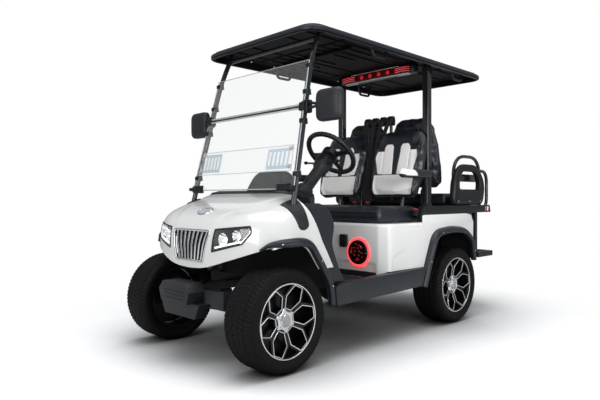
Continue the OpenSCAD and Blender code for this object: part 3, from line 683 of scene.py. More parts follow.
HALF, NOSE_LOW, NOSE_CAP = 590.0, 420.0, 196.0
NOSE_TIP, NOSE_ROUND, HOOD_START, HOOD_Z = 203.0, 303.0, -244.0, 928.0
FRONT_ARCH = [(98, 636), (56, 684), (-72, 697), (-172, 684), (-288, 520), (-344, 425), (-352, 317)]
REAR_ARCH = [(462, 317), (395, 480), (322, 640), (250, 684), (67, 700), (-114, 684), (-232, 604), (-262, 440)]
BAND = 46.0
LIGHT_FOOT = [(206, 612), (400, 660), (438, 714)]
LIGHT_BROW = [(216, 731), (427, 752), (437, 730)]
GRILLE = [(-178, 722), (-134, 553), (134, 553), (178, 722)]


def nose_half(x):
    """Half width seen from above: HALF (1 - u^2.4)^(1/2.4), with u from 0 to 1 over the last 303 mm."""
    u = np.clip((x - NOSE_TIP + NOSE_ROUND) / NOSE_ROUND, 0, 1)
    return HALF * (1 - u ** 2.4) ** (1 / 2.4)


def nose_top(x):
    """Height of the middle line: a gentle slope times (1 - u^12)^0.4, which rolls it over at the nose."""
    run = x - HOOD_START
    u = np.clip(run / (NOSE_TIP - HOOD_START), 0, 1)
    slope = HOOD_Z - 0.3 * run * (1 + 0.0002 * run)
    return np.where(x < HOOD_START, HOOD_Z, 500 + (slope - 500) * (1 - u ** 12) ** 0.4)


def hood_panel(x, y):
    """The raised middle of the hood: 6 mm up inside two lines that open from the grille towards the
    windshield."""
    edge = 178 + (430 - 178) * np.clip((190 - x) / 430.0, 0, 1)
    return 6.0 * step(edge - np.abs(y), -14, 14) * step(190 - x, 0, 60)


def nose_skin(x, angle, inset=0.0, low=NOSE_LOW, panel=True):
    """A point of the nose: y = w cos^0.25, z = low + height sin^0.67, with the angle going round from one
    side to the other."""
    w = nose_half(x + inset) - inset
    height = nose_top(x + inset) - inset - low
    c, s = np.cos(angle), np.clip(np.sin(angle), 0, 1)
    y = w * signed(c, 0.25)
    z = low + height * s ** 0.67
    if panel:
        z = z + hood_panel(x, y) * step(s, 0.75, 0.95)
    return np.stack(np.broadcast_arrays(x, y, z), -1)


def nose_solid(inset, low, rows=60, columns=40):
    """The whole nose as a closed solid, made smaller by inset."""
    x = (-480 + (NOSE_CAP - inset + 480) * np.sin(np.linspace(0, math.pi / 2, rows)))[:, None]
    t = np.linspace(-1, 1, 2 * columns + 1)[None]
    angle = math.pi / 2 * (1 - signed(t, 2.2))
    return Shape(FRONT).solid(nose_skin(x, angle, inset, low, inset == 0))


def nose_front(y, z):
    """X of the nose at a point seen from the front, found by halving the interval 40 times."""
    y, z = np.broadcast_arrays(np.asarray(y, float), z)
    low, high = np.full(y.shape, -240.0), np.full(y.shape, NOSE_CAP)
    for _ in range(40):
        x = (low + high) / 2
        across_part = (np.abs(y) / np.maximum(nose_half(x), 1)) ** 8
        outside = across_part + (np.maximum(z - NOSE_LOW, 0) / (nose_top(x) - NOSE_LOW)) ** 2.985 > 1
        high, low = np.where(outside, x, high), np.where(outside, low, x)
    return (low + high) / 2


def nose_above(x, y):
    """Height of the nose at a point seen from above."""
    share = np.clip(1 - (np.abs(y) / nose_half(x)) ** 8, 0, 1)
    return NOSE_LOW + (nose_top(x) - NOSE_LOW) * share ** 0.335 + hood_panel(x, y)


def sideways(path):
    """The direction a quarter turn to the left of a flat path, at each of its points."""
    t = unit(np.gradient(path, axis=0))
    return np.stack([-t[:, 1], t[:, 0]], 1)


def lowered(path, d):
    """A path moved sideways, towards the wheel."""
    return path + d * sideways(path)


def arch(points, n=90):
    """A wheel arch: n even points along its corners, each rounded by 60 mm."""
    return evenly(rounded(points, 60, 8), n)


def second_finish(obj, where):
    """Gives a piece's second finish to the faces picked by their normals and their middles."""
    faces = obj.data.polygons
    n, c = np.empty(len(faces) * 3), np.empty(len(faces) * 3)
    faces.foreach_get("normal", n)
    faces.foreach_get("center", c)
    faces.foreach_set("material_index", where(n.reshape(-1, 3), c.reshape(-1, 3)).astype(np.int32))


def dark_inside(obj, centre, axle):
    """The second finish for a shell's faces that look inwards and for its cut edge round the wheel."""
    def where(n, c):
        hub = np.array([axle, 0, AXLE_Z * MM]) - c
        cut = (np.abs(n[:, 1]) < 0.3) & (np.sum(n[:, ::2] * unit(hub[:, ::2]), 1) > 0.5)
        return (np.sum(n * (c - np.array(centre)), 1) < -0.02) | cut & (c[:,
                                                                          2] < 0.70) & (np.abs(c[:, 1]) > 0.4)
    second_finish(obj, where)


def build_nose():
    """The painted nose: the skin |y/w|^8 + ((z-low)/height)^2.985 = 1 as a shell 4 mm thick, cut open for
    wheels, grille, lamps and cabin."""
    room = np.concatenate([lowered(arch(FRONT_ARCH), BAND), [(-352, 150), (98, 150)]])
    chin = evenly(rounded([(0, 512), (150, 518), (420, 600), (560, 655), (700, 722)], 120, 9), 30)
    chin = np.concatenate([chin, [(700, 250)], [(-700, 250)], (chin * [-1, 1])[::-1][:-1]])
    rear = [(-240, 1000), (-205, 880), (-276, 664), (-357, 515), (-700, 515), (-700, 1000)]
    light = np.concatenate([rounded(LIGHT_FOOT, 12), rounded(LIGHT_BROW, 12)[::-1]])
    cutters = [nose_solid(4.0, 300.0),
               Shape(FRONT).plate(rear, -720, 720, 0),
               Shape(FRONT).plate(room, 250, 720, 0).mirrored(),
               Shape(FRONT).plate(chin, 40, 300, 0, facing),
               Shape(FRONT).plate([(-720, 300), (720, 300), (720, 515), (-720, 515)], -500, 41, 0, facing),
               Shape(FRONT).plate(rounded(GRILLE, 12, closed=True), 120, 260, 0, facing),
               Shape(FRONT).plate(rounded(light, 8, closed=True), 60, 260, 0, facing).mirrored()]
    hood = carve(nose_solid(0.0, NOSE_LOW), "hood_shell", cutters)
    dress(hood, [PAINT, TRIM], replaces=("hood",), smooth=38)
    dark_inside(hood, (FRONT - 0.15, 0, 0.52), FRONT)


def light_sheet(columns, rise=0.0):
    """14 rows of points of a headlight between its lower and upper edges, laid on the nose and moved forward
    by rise."""
    foot, brow = evenly(LIGHT_FOOT, columns), evenly(LIGHT_BROW, columns)
    v = np.linspace(0, 1, 14)[:, None, None]
    yz = (1 - v) * foot + v * brow
    x = nose_front(yz[..., 0], yz[..., 1]) + rise
    return np.stack([x, yz[..., 0], yz[..., 1]], -1)


def build_lights():
    """Each headlight has a lens and a bowl that follow the nose, the bowl sunk by 44 (1-u^6)(1-v^6), and two
    cups x = -30 (1-t^2) with bulbs."""
    sheet = light_sheet(24)
    v, u = np.meshgrid(np.linspace(-1, 1, 14), np.linspace(-1, 1, 24), indexing="ij")
    hollow = (1 - u ** 6) * (1 - v ** 6)
    bowl = sheet.copy()
    bowl[..., 0] -= 4 + 44 * hollow
    lens = sheet.copy()
    lens[..., 0] += 0.5 + 1.5 * hollow
    Shape(FRONT).solid(thick(lens, np.array([-3.0, 0, 0]))).mirrored().make(
        "headlight_lens", LENS, slot="lamp", replaces=("headlights",))
    Shape(FRONT).solid(thick(bowl, np.array([-3.0, 0, 0]))).mirrored().make(
        "headlight_housing", TRIM, slot="dark_plastic", replaces=("headlights",))
    edge = light_sheet(40)
    rim = np.concatenate([edge[0], edge[1:-1, -1], edge[-1][::-1], edge[1:-1, 0][::-1]])
    rim = evenly(rim, 120, closed=True)
    Shape(FRONT).ring(sweep(rim, oval(4.5, 3.4, 2.5, 12), (1, 0, 0), closed=True)).mirrored().make(
        "headlight_bezel", MOULD, slot="chrome", replaces=("headlights",))
    cups, bulbs = Shape(FRONT), Shape(FRONT)
    for y, z, r in ((268, 678, 40), (352, 700, 34)):
        x = float(nose_front(y, z)) - 16
        t = np.linspace(0, 1, 12)[:, None]
        f = turns(28)[None]
        cup = np.stack(np.broadcast_arrays(
            x - 30 * (1 - t ** 2), y + r * t * np.cos(f), z + r * 0.92 * t * np.sin(f)), -1)
        back = cup[::-1] + np.array([-2.0, 0, 0])
        cups.grid(np.concatenate([cup, back]), around=True)
        bulbs.dome((x - 24, y, z), 11, 14, (1, 0, 0))
    cups.mirrored().make("headlight_reflectors", CHROME, slot="chrome")
    bulbs.mirrored().make("headlight_bulbs", LAMP, slot="lamp")
    strip = light_sheet(40, -5.0)
    path = np.concatenate([strip[2, 3:], strip[3:11, -3]])
    path = evenly(rounded(path, 6, 3), 60)
    Shape(FRONT).tube(path, 5.0, (1, 0, 0)).mirrored().make("headlight_strip", LAMP, slot="lamp")


def build_grille():
    """Eight upright bars that follow the nose, in a ring: swept sections |a/6.3|^2.6 + |b/12|^2.6 = 1."""
    inner = rounded([(-168, 714), (-127, 561), (127, 561), (168, 714)], 8, closed=True)
    path = evenly(rounded(np.array(GRILLE) * [0.985, 1], 14, closed=True), 160, closed=True)
    path = np.stack([nose_front(path[:, 0], path[:, 1]) - 1.0, path[:, 0], path[:, 1]], 1)
    ring = Shape(FRONT).ring(sweep(path, oval(6.5, 6.0, 3, 16), (1, 0, 0), closed=True))
    z = np.linspace(560, 716, 30)
    for i in np.arange(-3.5, 4):
        y = i * (31 + (z - 566) / 143 * 10)
        path = np.stack([nose_front(y, z) - 11, y, z], 1)
        ring.solid(sweep(path, oval(6.3, 12.0, 2.6, 16), (1, 0, 0)))
    ring.make("grille_bars", CHROME, slot="chrome", replaces=("grille",))
    Shape(FRONT).plate(inner, 146, 151, 1, facing).make(
        "grille_backing", TRIM, slot="black_plastic", replaces=("grille",))


def build_badge():
    """A bare oval badge that follows the hood: enamel in a bright rim."""
    f = turns(64)[None]

    def laid(rho, rise):
        x, y = 85 + 38 * rho * np.cos(f), 64 * rho * np.sin(f)
        return np.stack([x, y, nose_above(x, y) + rise], -1)
    rho = np.array([1.0, 1.0, 0.98, 0.93, 0.86, 0.82, 0.82])[:, None]
    rise = np.array([-2.0, 2.0, 4.5, 6.0, 5.5, 4.0, -2.0])[:, None]
    Shape(FRONT).ring(laid(rho, rise)).make("hood_badge_rim", CHROME, slot="chrome")
    rho = np.array([0.82, 0.82, 0.6, 0.3, 0.001])[:, None]
    rise = np.array([-1.0, 3.4, 4.4, 5.0, 5.2])[:, None]
    Shape(FRONT).solid(laid(rho, rise)).make("hood_badge", BADGE, slot="chrome")


def build_pillar_covers():
    """A strap cover on each side of the nose: a patch of its skin, raised 10 mm, that narrows and rounds off
    at its foot."""
    v = np.linspace(0, 1, 44)[:, None]
    u = np.linspace(-1, 1, 25)[None]
    foot = np.sqrt(np.clip(1 - (1 - np.clip(v / 0.13, 0, 1)) ** 2.5, 0.02, 1))
    x = (-156 + 16 * v) + (36 + 20 * v) * foot * u
    angle = np.radians(31 + 40 * v) + 0 * u
    p = nose_skin(x, angle, panel=False)
    normal = unit(np.cross(np.gradient(p, axis=1), np.gradient(p, axis=0)))
    normal *= np.sign(normal[..., 1:2])
    ends = np.clip(1 - (1 - np.clip(v / 0.10, 0, 1)) ** 3, 0, 1) * np.clip((1 - v) / 0.03, 0, 1) ** 0.5
    edge = (1 - np.abs(u) ** 8) * ends
    dish = 2.5 * step(0.74 - np.abs(u), 0, 0.08) * step(v, 0.12, 0.2) * step(1 - v, 0.10, 0.16)
    p = p + normal * ((10 * edge - dish)[..., None] + 0.6)
    Shape(FRONT).solid(thick(p, -6 * normal)).mirrored().make(
        "pillar_strap_covers", MOULD, slot="dark_plastic", replaces=("pillar_covers",))


def build_flares():
    """Fender flares: a soft lip in section, carried along each wheel arch; the front one starts
    in a point."""
    lip = np.array([(0, 0.4), (2, 14), (7, 26), (15, 35), (26, 39.5), (38, 39), (45, 34), (47, 26), (44, 16),
                    (42, 0.4)])
    lip = evenly(rounded(lip, 5, 3, closed=True), 40, closed=True)
    for name, points, axle, taper in (("front", FRONT_ARCH, FRONT, 0.2), ("rear", REAR_ARCH, REAR, 0.0)):
        path = arch(points, 120)
        inward = sideways(path)
        s = np.linspace(0, 1, len(path))
        out = 1 - 0.6 * (1 - step(s, 0, taper)) if taper else np.ones_like(s)
        deep = 1 - 0.5 * (1 - step(s, 0, taper)) if taper else out
        xz = path[:, None] + inward[:, None] * (lip[None, :, :1] * deep[:, None, None])
        wall = nose_half(path[:, 0]) if taper else np.full(len(path), HALF)
        lean = nose_half(path[:, 0] + 0.5) - nose_half(path[:, 0] - 0.5) if taper else np.zeros(len(path))
        normal = unit(np.stack([-lean, np.ones(len(path))], 1))
        reach = lip[None, :, 1] * out[:, None]
        p = np.stack([xz[..., 0] + normal[:, :1] * reach, wall[:, None] + 0.3 + normal[:, 1:] * reach,
                      xz[..., 1]], -1)
        Shape(axle).solid(p).mirrored().make(
            name + "_flare_lips", FLARE, slot="black_plastic", replaces=(name + "_flares",), smooth=60)
        screws = Shape(axle)
        for share in (0.15, 0.59, 0.845) if taper else (0.16, 0.42, 0.94):
            k = int(share * (len(path) - 1))
            spot = path[k] + inward[k] * 26 * deep[k]
            place = (spot[0] + normal[k, 0] * 39 * out[k], wall[k] + normal[k, 1] * 39 * out[k], spot[1])
            screws.dome(place, 4.2, 2.5, (normal[k, 0], normal[k, 1], 0), n=14)
        screws.mirrored().make(name + "_flare_screws", CHROME, slot="chrome", smooth=60)


build_nose()
build_lights()
build_grille()
build_badge()
build_pillar_covers()
build_flares()

# ---- wheels --------------------------------------------------------------------------

CORNERS = [("front_left", FRONT, 508.0, 1), ("front_right", FRONT, 508.0, -1),
           ("rear_left", REAR, 500.0, 1), ("rear_right", REAR, 500.0, -1)]


def ring_points(section, n):
    """A section (radius, y) carried once round the wheel's axis."""
    f = turns(n)[:, None]
    r, y = section[..., 0], section[..., 1]
    return np.stack(np.broadcast_arrays(r * np.cos(f), y, r * np.sin(f)), -1)


def tyre_points(n=360):
    """The section of the tyre with its tread cut in: four zigzag grooves |y - y0 - zig| < 3.4, short cross
    cuts 72 times round, and deeper cuts over the shoulders."""
    half = [(193, 96), (204, 105), (222, 111), (238, 112), (252, 108), (263, 98), (270, 80), (271.6, 60),
            (272, 30)]
    section = np.array(half + [(272, 0)] + [(r, -y) for r, y in half[::-1]], float)
    section = evenly(rounded(section, 9, 5), 118)
    normal = sideways(section)
    f = turns(n)[:, None]
    y, r = section[None, :, 1], section[None, :, 0]
    turn = f * 72 / (2 * math.pi)
    zig = 3.2 * (2 / math.pi) * np.arcsin(np.sin(math.pi * turn))
    tread = step(r, 262, 267)
    deep = np.zeros((n, len(section)))
    for y0 in (-60, -21, 21, 60):
        deep = deep + 6.5 * np.exp(-((y - y0 - zig) / 3.6) ** 4)
    cross = (turn + 0.012 * np.abs(y)) % 1.0 - 0.5
    inner = 3.4 * np.exp(-(cross / 0.14) ** 4) * (np.abs(y) < 58)
    outer = 5.0 * np.exp(-(cross / 0.19) ** 4) * (np.abs(y) >= 66)
    shoulder = 3.0 * np.exp(-(cross / 0.19) ** 4) * step(r, 246, 252) * (np.abs(y) > 84)
    deep = np.maximum(np.maximum(deep, inner), outer) * tread + shoulder * (1 - tread)
    line = np.exp(-((r - 214) / 1.6) ** 2) + np.exp(-((r - 243) / 1.6) ** 2)
    move = 0.9 * line * (np.abs(y) > 90) - deep
    r = r + move * np.abs(normal[None, :, 0])
    y = y + np.sign(section[None, :, 1]) * move * np.abs(normal[None, :, 1])
    outside = np.stack(np.broadcast_arrays(r * np.cos(f), y, r * np.sin(f)), -1)
    wall = [(197, 92), (214, 101), (240, 101), (262, 84)]
    inside = ring_points(np.array([(r, -y) for r, y in wall] + wall[::-1], float), n)
    return np.concatenate([outside, inside], axis=1)


SPOKE_TURN = 0.12


def petal(i, grown=0.0):
    """Outline of one window between the spokes, lying on the dished face whose height is 63 + 34 (r - 50) /
    137."""
    p = shrunk(rounded([(60, -21), (118, -52), (183, -29), (183, 29), (118, 52), (60, 21)], 5, 4,
                       closed=True), -grown)
    a = i * math.pi / 3 - SPOKE_TURN
    p = p @ np.array([[math.cos(a), math.sin(a)], [-math.sin(a), math.cos(a)]])
    return np.column_stack([p, 63 + 34 * np.clip((np.linalg.norm(p, axis=1) - 50) / 137, 0, 1)])


def on_wheel(p, wheel_y, side):
    """Points given as (across, up, outwards) put on a wheel's outer face, whose middle plane
    lies at wheel_y."""
    return np.stack([p[..., 0], (wheel_y + p[..., 2]) * side, p[..., 1] + AXLE_Z], -1)


def rotated_profile(section, n=64):
    """Rings of a section (radius, height) carried round an axis."""
    f = turns(n)[:, None]
    section = np.asarray(section, float)
    r, h = section[None, :, 0], section[None, :, 1]
    return np.stack(np.broadcast_arrays(r * np.cos(f), r * np.sin(f), h), -1)


def build_wheels():
    """Tyre, barrel, six window frames that make the spokes, bright lines round them, a bright star at the hub
    and a plain cap."""
    tread = tyre_points()
    frames = [sweep(petal(i, 7) - [0, 0, 8], rectangle(16, 15, 4, 3), (0, 0, 1), closed=True)
              for i in range(6)]
    lines = [sweep(petal(i), rectangle(5.2, 3.4, 1, 2), (0, 0, 1), closed=True) for i in range(6)]
    lines.append(rotated_profile(rounded([(188, 97), (188, 101.5), (194.5, 101.8), (195.5, 96)], 1.5, 4,
                                         closed=True), 96))
    barrel = rotated_profile([(180, -95), (192, -95), (192.4, 90), (189, 98), (184, 96), (180, 84)], 96)
    drum = rotated_profile([(40, 20), (40, 27), (160, 27), (179, 20)], 72)
    hub = rotated_profile([(17, -20), (58, -20), (66, 56), (60, 62), (17, 62)], 48)
    f = turns(120)
    star = 50 + 17 * (0.5 + 0.5 * np.cos(6 * (f + SPOKE_TURN) + math.pi)) ** 2
    star = plate(np.column_stack([star * np.cos(f), star * np.sin(f)]), 60, 74, 5, 4)
    cap = rotated_profile([(33, 70), (33, 80), (31, 82.5), (28, 82), (27, 79), (27, 70)])
    cap_face = rotated_profile([(27.2, 72), (27.2, 79.5), (24, 81), (12, 82), (0.01, 82.3)], 40)
    for name, axle, y, side in CORNERS:
        body = "wheel_" + name
        p = tread + [0, y, 0]
        p[..., 1] *= side
        p[..., 2] += AXLE_Z
        Shape(axle).ring(p).make("tread_" + name, TYRE, body, "tyre", ("tyre_" + name,), smooth=40)
        dark, shine, centre = Shape(axle), Shape(axle), Shape(axle)
        for rings in frames + [barrel, drum, hub]:
            dark.ring(on_wheel(rings, y, side))
        dark.make("rim_spokes_" + name, RIM, body, "alloy", ("rim_" + name,))
        for rings in lines:
            shine.ring(on_wheel(rings, y, side))
        shine.make("rim_lines_" + name, MACHINED, body, "alloy")
        centre.solid(on_wheel(star, y, side)).ring(on_wheel(cap, y, side))
        for k in range(6):
            a = math.radians(30 + 60 * k) - SPOKE_TURN
            centre.dome((43 * math.cos(a), (y + 73) * side, 43 * math.sin(a) + AXLE_Z), 6, 7, (0, side, 0),
                        n=12)
        centre.make("rim_hub_" + name, CHROME, body, "alloy", smooth=30)
        Shape(axle).grid(on_wheel(cap_face, y, side), around=True).make(
            "rim_cap_" + name, GREY_STRIP, body, "alloy", smooth=60)


build_wheels()

# ---- windshield, mirrors and roof -----------------------------------------------------

POST = [(-151, 483, 860), (-350, 425, 1700), (-430, 415, 1882)]
CROSS_Z = 1415
PANES = (950, 1402), (1428, 1690)


def on_post(z):
    """X and Y of a windshield post at a height, on its straight lower part."""
    t = (z - 860) / 840.0
    return -151 - 199 * t, 483 - 58 * t


def pane_points(z0, z1, wide=8.0, ahead=16.6, thin=5.0, rows=10):
    """A flat pane between the two posts, its side edges following them."""
    z = np.linspace(z0, z1, rows)
    x, y = on_post(z)
    corners = ((ahead + thin, -1), (ahead + thin, 1), (ahead, 1), (ahead, -1))
    return np.stack([np.stack([x + dx, side * (y + wide), z], 1) for dx, side in corners], 1)


def build_windshield():
    """Two bent posts, two flat panes in the plane between them, their edge strips, vent panels and clamps."""
    path = evenly(rounded(POST, 150, 12), 48)
    Shape(FRONT).tube(path, 16, (0, 1, 0), n=24).mirrored().make(
        "windshield_tubes", TUBE, slot="frame_paint", replaces=("windshield_posts",), smooth=60)
    x, y = on_post(CROSS_Z)
    bars = Shape(FRONT).tube([(x, -y, CROSS_Z), (x, 0, CROSS_Z), (x, y, CROSS_Z)], 9, (0, 0, 1))
    bars.tube([(-418, -417, 1838), (-418, 0, 1838), (-418, 417, 1838)], 14, (0, 0, 1))
    bars.make("windshield_cross_tubes", TUBE, slot="frame_paint", replaces=("windshield_bars",), smooth=60)
    Shape(FRONT).solid(pane_points(*PANES[0])).make(
        "lower_windshield_sheet", GLASS, slot="clear_pane", replaces=("lower_pane",), smooth=20)
    Shape(FRONT).solid(pane_points(*PANES[1])).make(
        "upper_windshield_sheet", GLASS, slot="clear_pane", replaces=("upper_pane",), smooth=20)
    strips = Shape(FRONT)
    for z0, z1 in ((1399, 1409), (1421, 1431), (947, 953), (1687, 1691)):
        strips.solid(pane_points(z0, z1, 9, 15.6, 7.2, 2))
    strips.make("windshield_edge_strips", GREY_STRIP, slot="dark_plastic", smooth=20)
    edges = Shape(FRONT)
    for z0, z1 in ((953, 1399), (1431, 1687)):
        z = np.linspace(z0, z1, 6)
        x, y = on_post(z)
        edges.solid(sweep(np.stack([x + 19, y + 8, z], 1), rectangle(6, 3, 1, 2), (0, 1, 0)))
    edges.mirrored().make("windshield_side_edges", FROST, slot="dark_plastic", smooth=20)
    vents, slots = Shape(FRONT), Shape(FRONT)
    for side in (-1, 1):
        z = np.linspace(1064, 1182, 3)
        x = on_post(z)[0] + 26
        ring = np.stack([np.stack([x + dx, np.full(3, side * y), z], 1) for dx,
                         y in ((0, 226), (0, 410), (-2, 410), (-2, 226))], 1)
        vents.solid(ring)
        for k in range(5):
            yk = 250 + 35 * k
            z = np.linspace(1083, 1163, 6)
            x = on_post(z)[0] + 27
            path = np.stack([x, np.full(6, side * yk), z], 1)
            slots.solid(sweep(path, rectangle(17, 3, 1.4, 2), (1, 0, 0)))
    vents.make("vent_panel_frames", FROST, slot="clear_pane", smooth=20)
    slots.make("vent_panel_slots", PALE, slot="clear_pane", smooth=20)
    sheet = Shape(FRONT).solid(pane_points(1051, 1196, -28, 22.8, 2.4, 5))
    sheet.make("vent_panel_sheet", GLASS, slot="clear_pane", smooth=20)
    rim = Shape(FRONT)
    for z0, z1 in ((1049, 1053), (1194, 1198)):
        rim.solid(pane_points(z0, z1, -28, 22.4, 4.0, 2))
    rim.make("vent_panel_edges", FROST, slot="clear_pane", smooth=20)
    knobs = Shape(FRONT)
    for z in (1075, 1178):
        x, y = on_post(z)
        knobs.dome((x + 24, y - 44, z), 13, 12, (1, 0, 0.24), n=20, power=3)
    knobs.mirrored().make("vent_panel_knobs", GREY_STRIP, slot="dark_plastic", smooth=40)
    clamps = Shape(FRONT)
    for z, h, y0, y1 in ((957, 26, 372, 450), (957, 14, 430, 492)):
        x, _ = on_post(z)
        clamps.plate(rounded([(x + 14, z - h), (x + 52, z - h + 5), (x + 50, z + h - 4), (x + 14, z + h)], 6,
                             closed=True), y0, y1, 3)
    for z in (1030, 1330, 1500, 1655):
        x, y = on_post(z)
        clamps.tube([(x - 6, y, z - 17), (x - 2, y, z), (x - 1, y, z + 17)], oval(21, 19, 3, 20), (0, 1, 0))
        clamps.plate(rounded([(x + 8, z - 13), (x + 27, z - 10), (x + 27, z + 12), (x + 8, z + 13)], 4,
                             closed=True), y - 9, y + 12, 2)
    x, y = on_post(CROSS_Z)
    clamps.tube([(x + 4, y, CROSS_Z - 25), (x, y, CROSS_Z), (x - 5, y, CROSS_Z + 25)], oval(25, 22, 3, 20),
                (0, 1, 0))
    clamps.plate(rounded([(x + 8, 1388), (x + 34, 1392), (x + 30, 1438), (x + 4, 1440)], 6, closed=True),
                 y - 22, y + 16, 3)
    clamps.mirrored().make("windshield_clamps", TRIM, slot="black_plastic", smooth=35)


def build_mirrors():
    """Each shell is a rounded box with a bulging front: half sizes grow as (1 - (1-t)^2.6)^(1/2.6)."""
    t = np.linspace(0, 1, 16)
    grow = (1 - (1 - t) ** 2.6) ** (1 / 2.6)
    outline = evenly(rectangle(188, 178, 44, 8), 96, closed=True)

    def rings(pairs):
        p = np.stack([np.column_stack([np.full(96, d), outline * g]) for d, g in pairs])
        return p + [-300.0, 615, 1410]
    shell = [(32 - 34 * a, 0.30 + 0.70 * g) for a, g in zip(t, grow)]
    shell += [(-12, 1.0), (-16, 0.985), (-16, 0.94), (-11, 0.93)]
    Shape(FRONT).solid(rings(shell)).mirrored().make(
        "mirror_shells", MOULD, slot="mirror_shell", replaces=("side_mirrors",), smooth=50)
    glass = [(-10, 0.925), (-13.5, 0.925), (-14, 0.9)]
    Shape(FRONT).solid(rings(glass)).mirrored().make(
        "mirror_faces", MIRROR, slot="mirror_shell", smooth=40)
    arms = Shape(FRONT)
    for z in (1404, 1430):
        x, y = on_post(z)
        path = evenly(rounded([(x, y + 12, z), (x + 4, y + 60, z), (-296, 560, 1416)], 24, 6), 16)
        arms.tube(path, oval(9, 8, 2.4, 16), (0, 0, 1))
    x, y = on_post(1418)
    arms.plate(rounded([(x - 24, 1378), (x + 24, 1378), (x + 20, 1452), (x - 26, 1452)], 10, closed=True),
               y + 4, y + 34, 4)
    arms.dome((-296, 552, 1416), 22, 18, (0, -1, 0), n=24)
    arms.mirrored().make("mirror_arms", TRIM, slot="black_plastic", smooth=40)


ROOF_REAR, ROOF_FRONT, ROOF_WIDE = 580.0, 270.0, 1030.0


def build_roof():
    """The roof: a crowned top, a rolled lip and a hollow underside with ribs and thin light strips; the
    underside's darker colour is painted shade.
    """
    x0, x1 = REAR / MM - ROOF_REAR, FRONT / MM - ROOF_FRONT
    cx, lx, w = (x0 + x1) / 2, x1 - x0, ROOF_WIDE

    def loop(inset, z, crown=0.0, r=120):
        q = evenly(rectangle(lx - 2 * inset, w - 2 * inset, max(r - inset, 20), 12), 240, closed=True)
        k = (1 - (q[:, 0] / (lx / 2)) ** 4) * (1 - (q[:, 1] / (w / 2)) ** 4)
        return np.stack([q[:, 0] + cx, q[:, 1], z + crown * k], 1)
    rings = [loop(28, 1890), loop(28, 1846), loop(24, 1842), loop(10, 1841.5), loop(3, 1845), loop(0, 1852),
             loop(0, 1866),
             loop(3, 1873), loop(9, 1877), loop(16, 1877.5), loop(22, 1882), loop(32, 1887)]
    top = [loop(32 + 440 * s, 1887 + 18 * math.sin(s * math.pi / 2), 2.0, 120)
           for s in np.linspace(0.1, 1.0, 9)]
    under = [loop(28 + 440 * s, 1890, 0.0) for s in (1.0, 0.5)]
    roof = Shape(0).solid(np.stack(under + rings + top)).make(
        "roof_moulding", [ROOF, PAINTED_SHADE_UNDERSIDE], slot="black_plastic", replaces=("roof",), smooth=32)
    # downward faces under the roof and inward faces of its lip get the darker finish, which is painted shade
    second_finish(roof, lambda n, c: ((n[:, 2] < -0.35) & (c[:, 2] > 1.848)
                                      | (np.sum(n[:, :2] * (c[:, :2] - [cx * MM, 0]), 1) < -0.02)))
    ribs = Shape(0)
    for y in (-330, -165, 165, 330):
        ribs.plate(rectangle(lx - 220, 12, 5, 3) + [cx, y], 1883, 1891, 1.5, flat)
    for x in (-560, -190, 560):
        ribs.plate(rectangle(12, w - 190, 5, 3) + [cx + x, 0], 1883, 1891, 1.5, flat)
    ribs.plate(rectangle(26, 640, 8, 3) + [cx + 430, 0], 1866, 1891, 4, flat)
    # ribs in the underside's darker finish, which is painted shade
    ribs.make("roof_ribs", PAINTED_SHADE_UNDERSIDE, slot="black_plastic", smooth=30)
    light = Shape(0)
    for y in (-250, -90, 90, 250):
        light.plate(rectangle(420, 7, 3, 3) + [cx + 330, y], 1880, 1890.5, 1, flat)
    light.make("roof_light_strips", TRIM, slot="dark_plastic", smooth=30)
    screws = Shape(0)
    for x in (-640, -300, 60, 420, 640):
        for y in (-1, 1):
            screws.dome((cx + x, y * 440, 1882), 8, 6, (0, 0, -1), n=12)
    screws.make("roof_screws", CHROME, slot="chrome", smooth=60)


build_windshield()
build_mirrors()
build_roof()

# ---- steering and dash ----------------------------------------------------------------

HUB = np.array([-655.0, 300.0, 1180.0])
COLUMN_FOOT = np.array([-400.0, 300.0, 925.0])
RIM_R = 159


def on_hub(p):
    """Points given in the steering wheel's own axes: X up the rim, Y across, Z towards the driver."""
    k = math.sqrt(0.5)
    return np.stack([HUB[0] + k * (p[..., 0] - p[..., 2]), HUB[1] + p[..., 1],
                     HUB[2] + k * (p[..., 0] + p[..., 2])], -1)


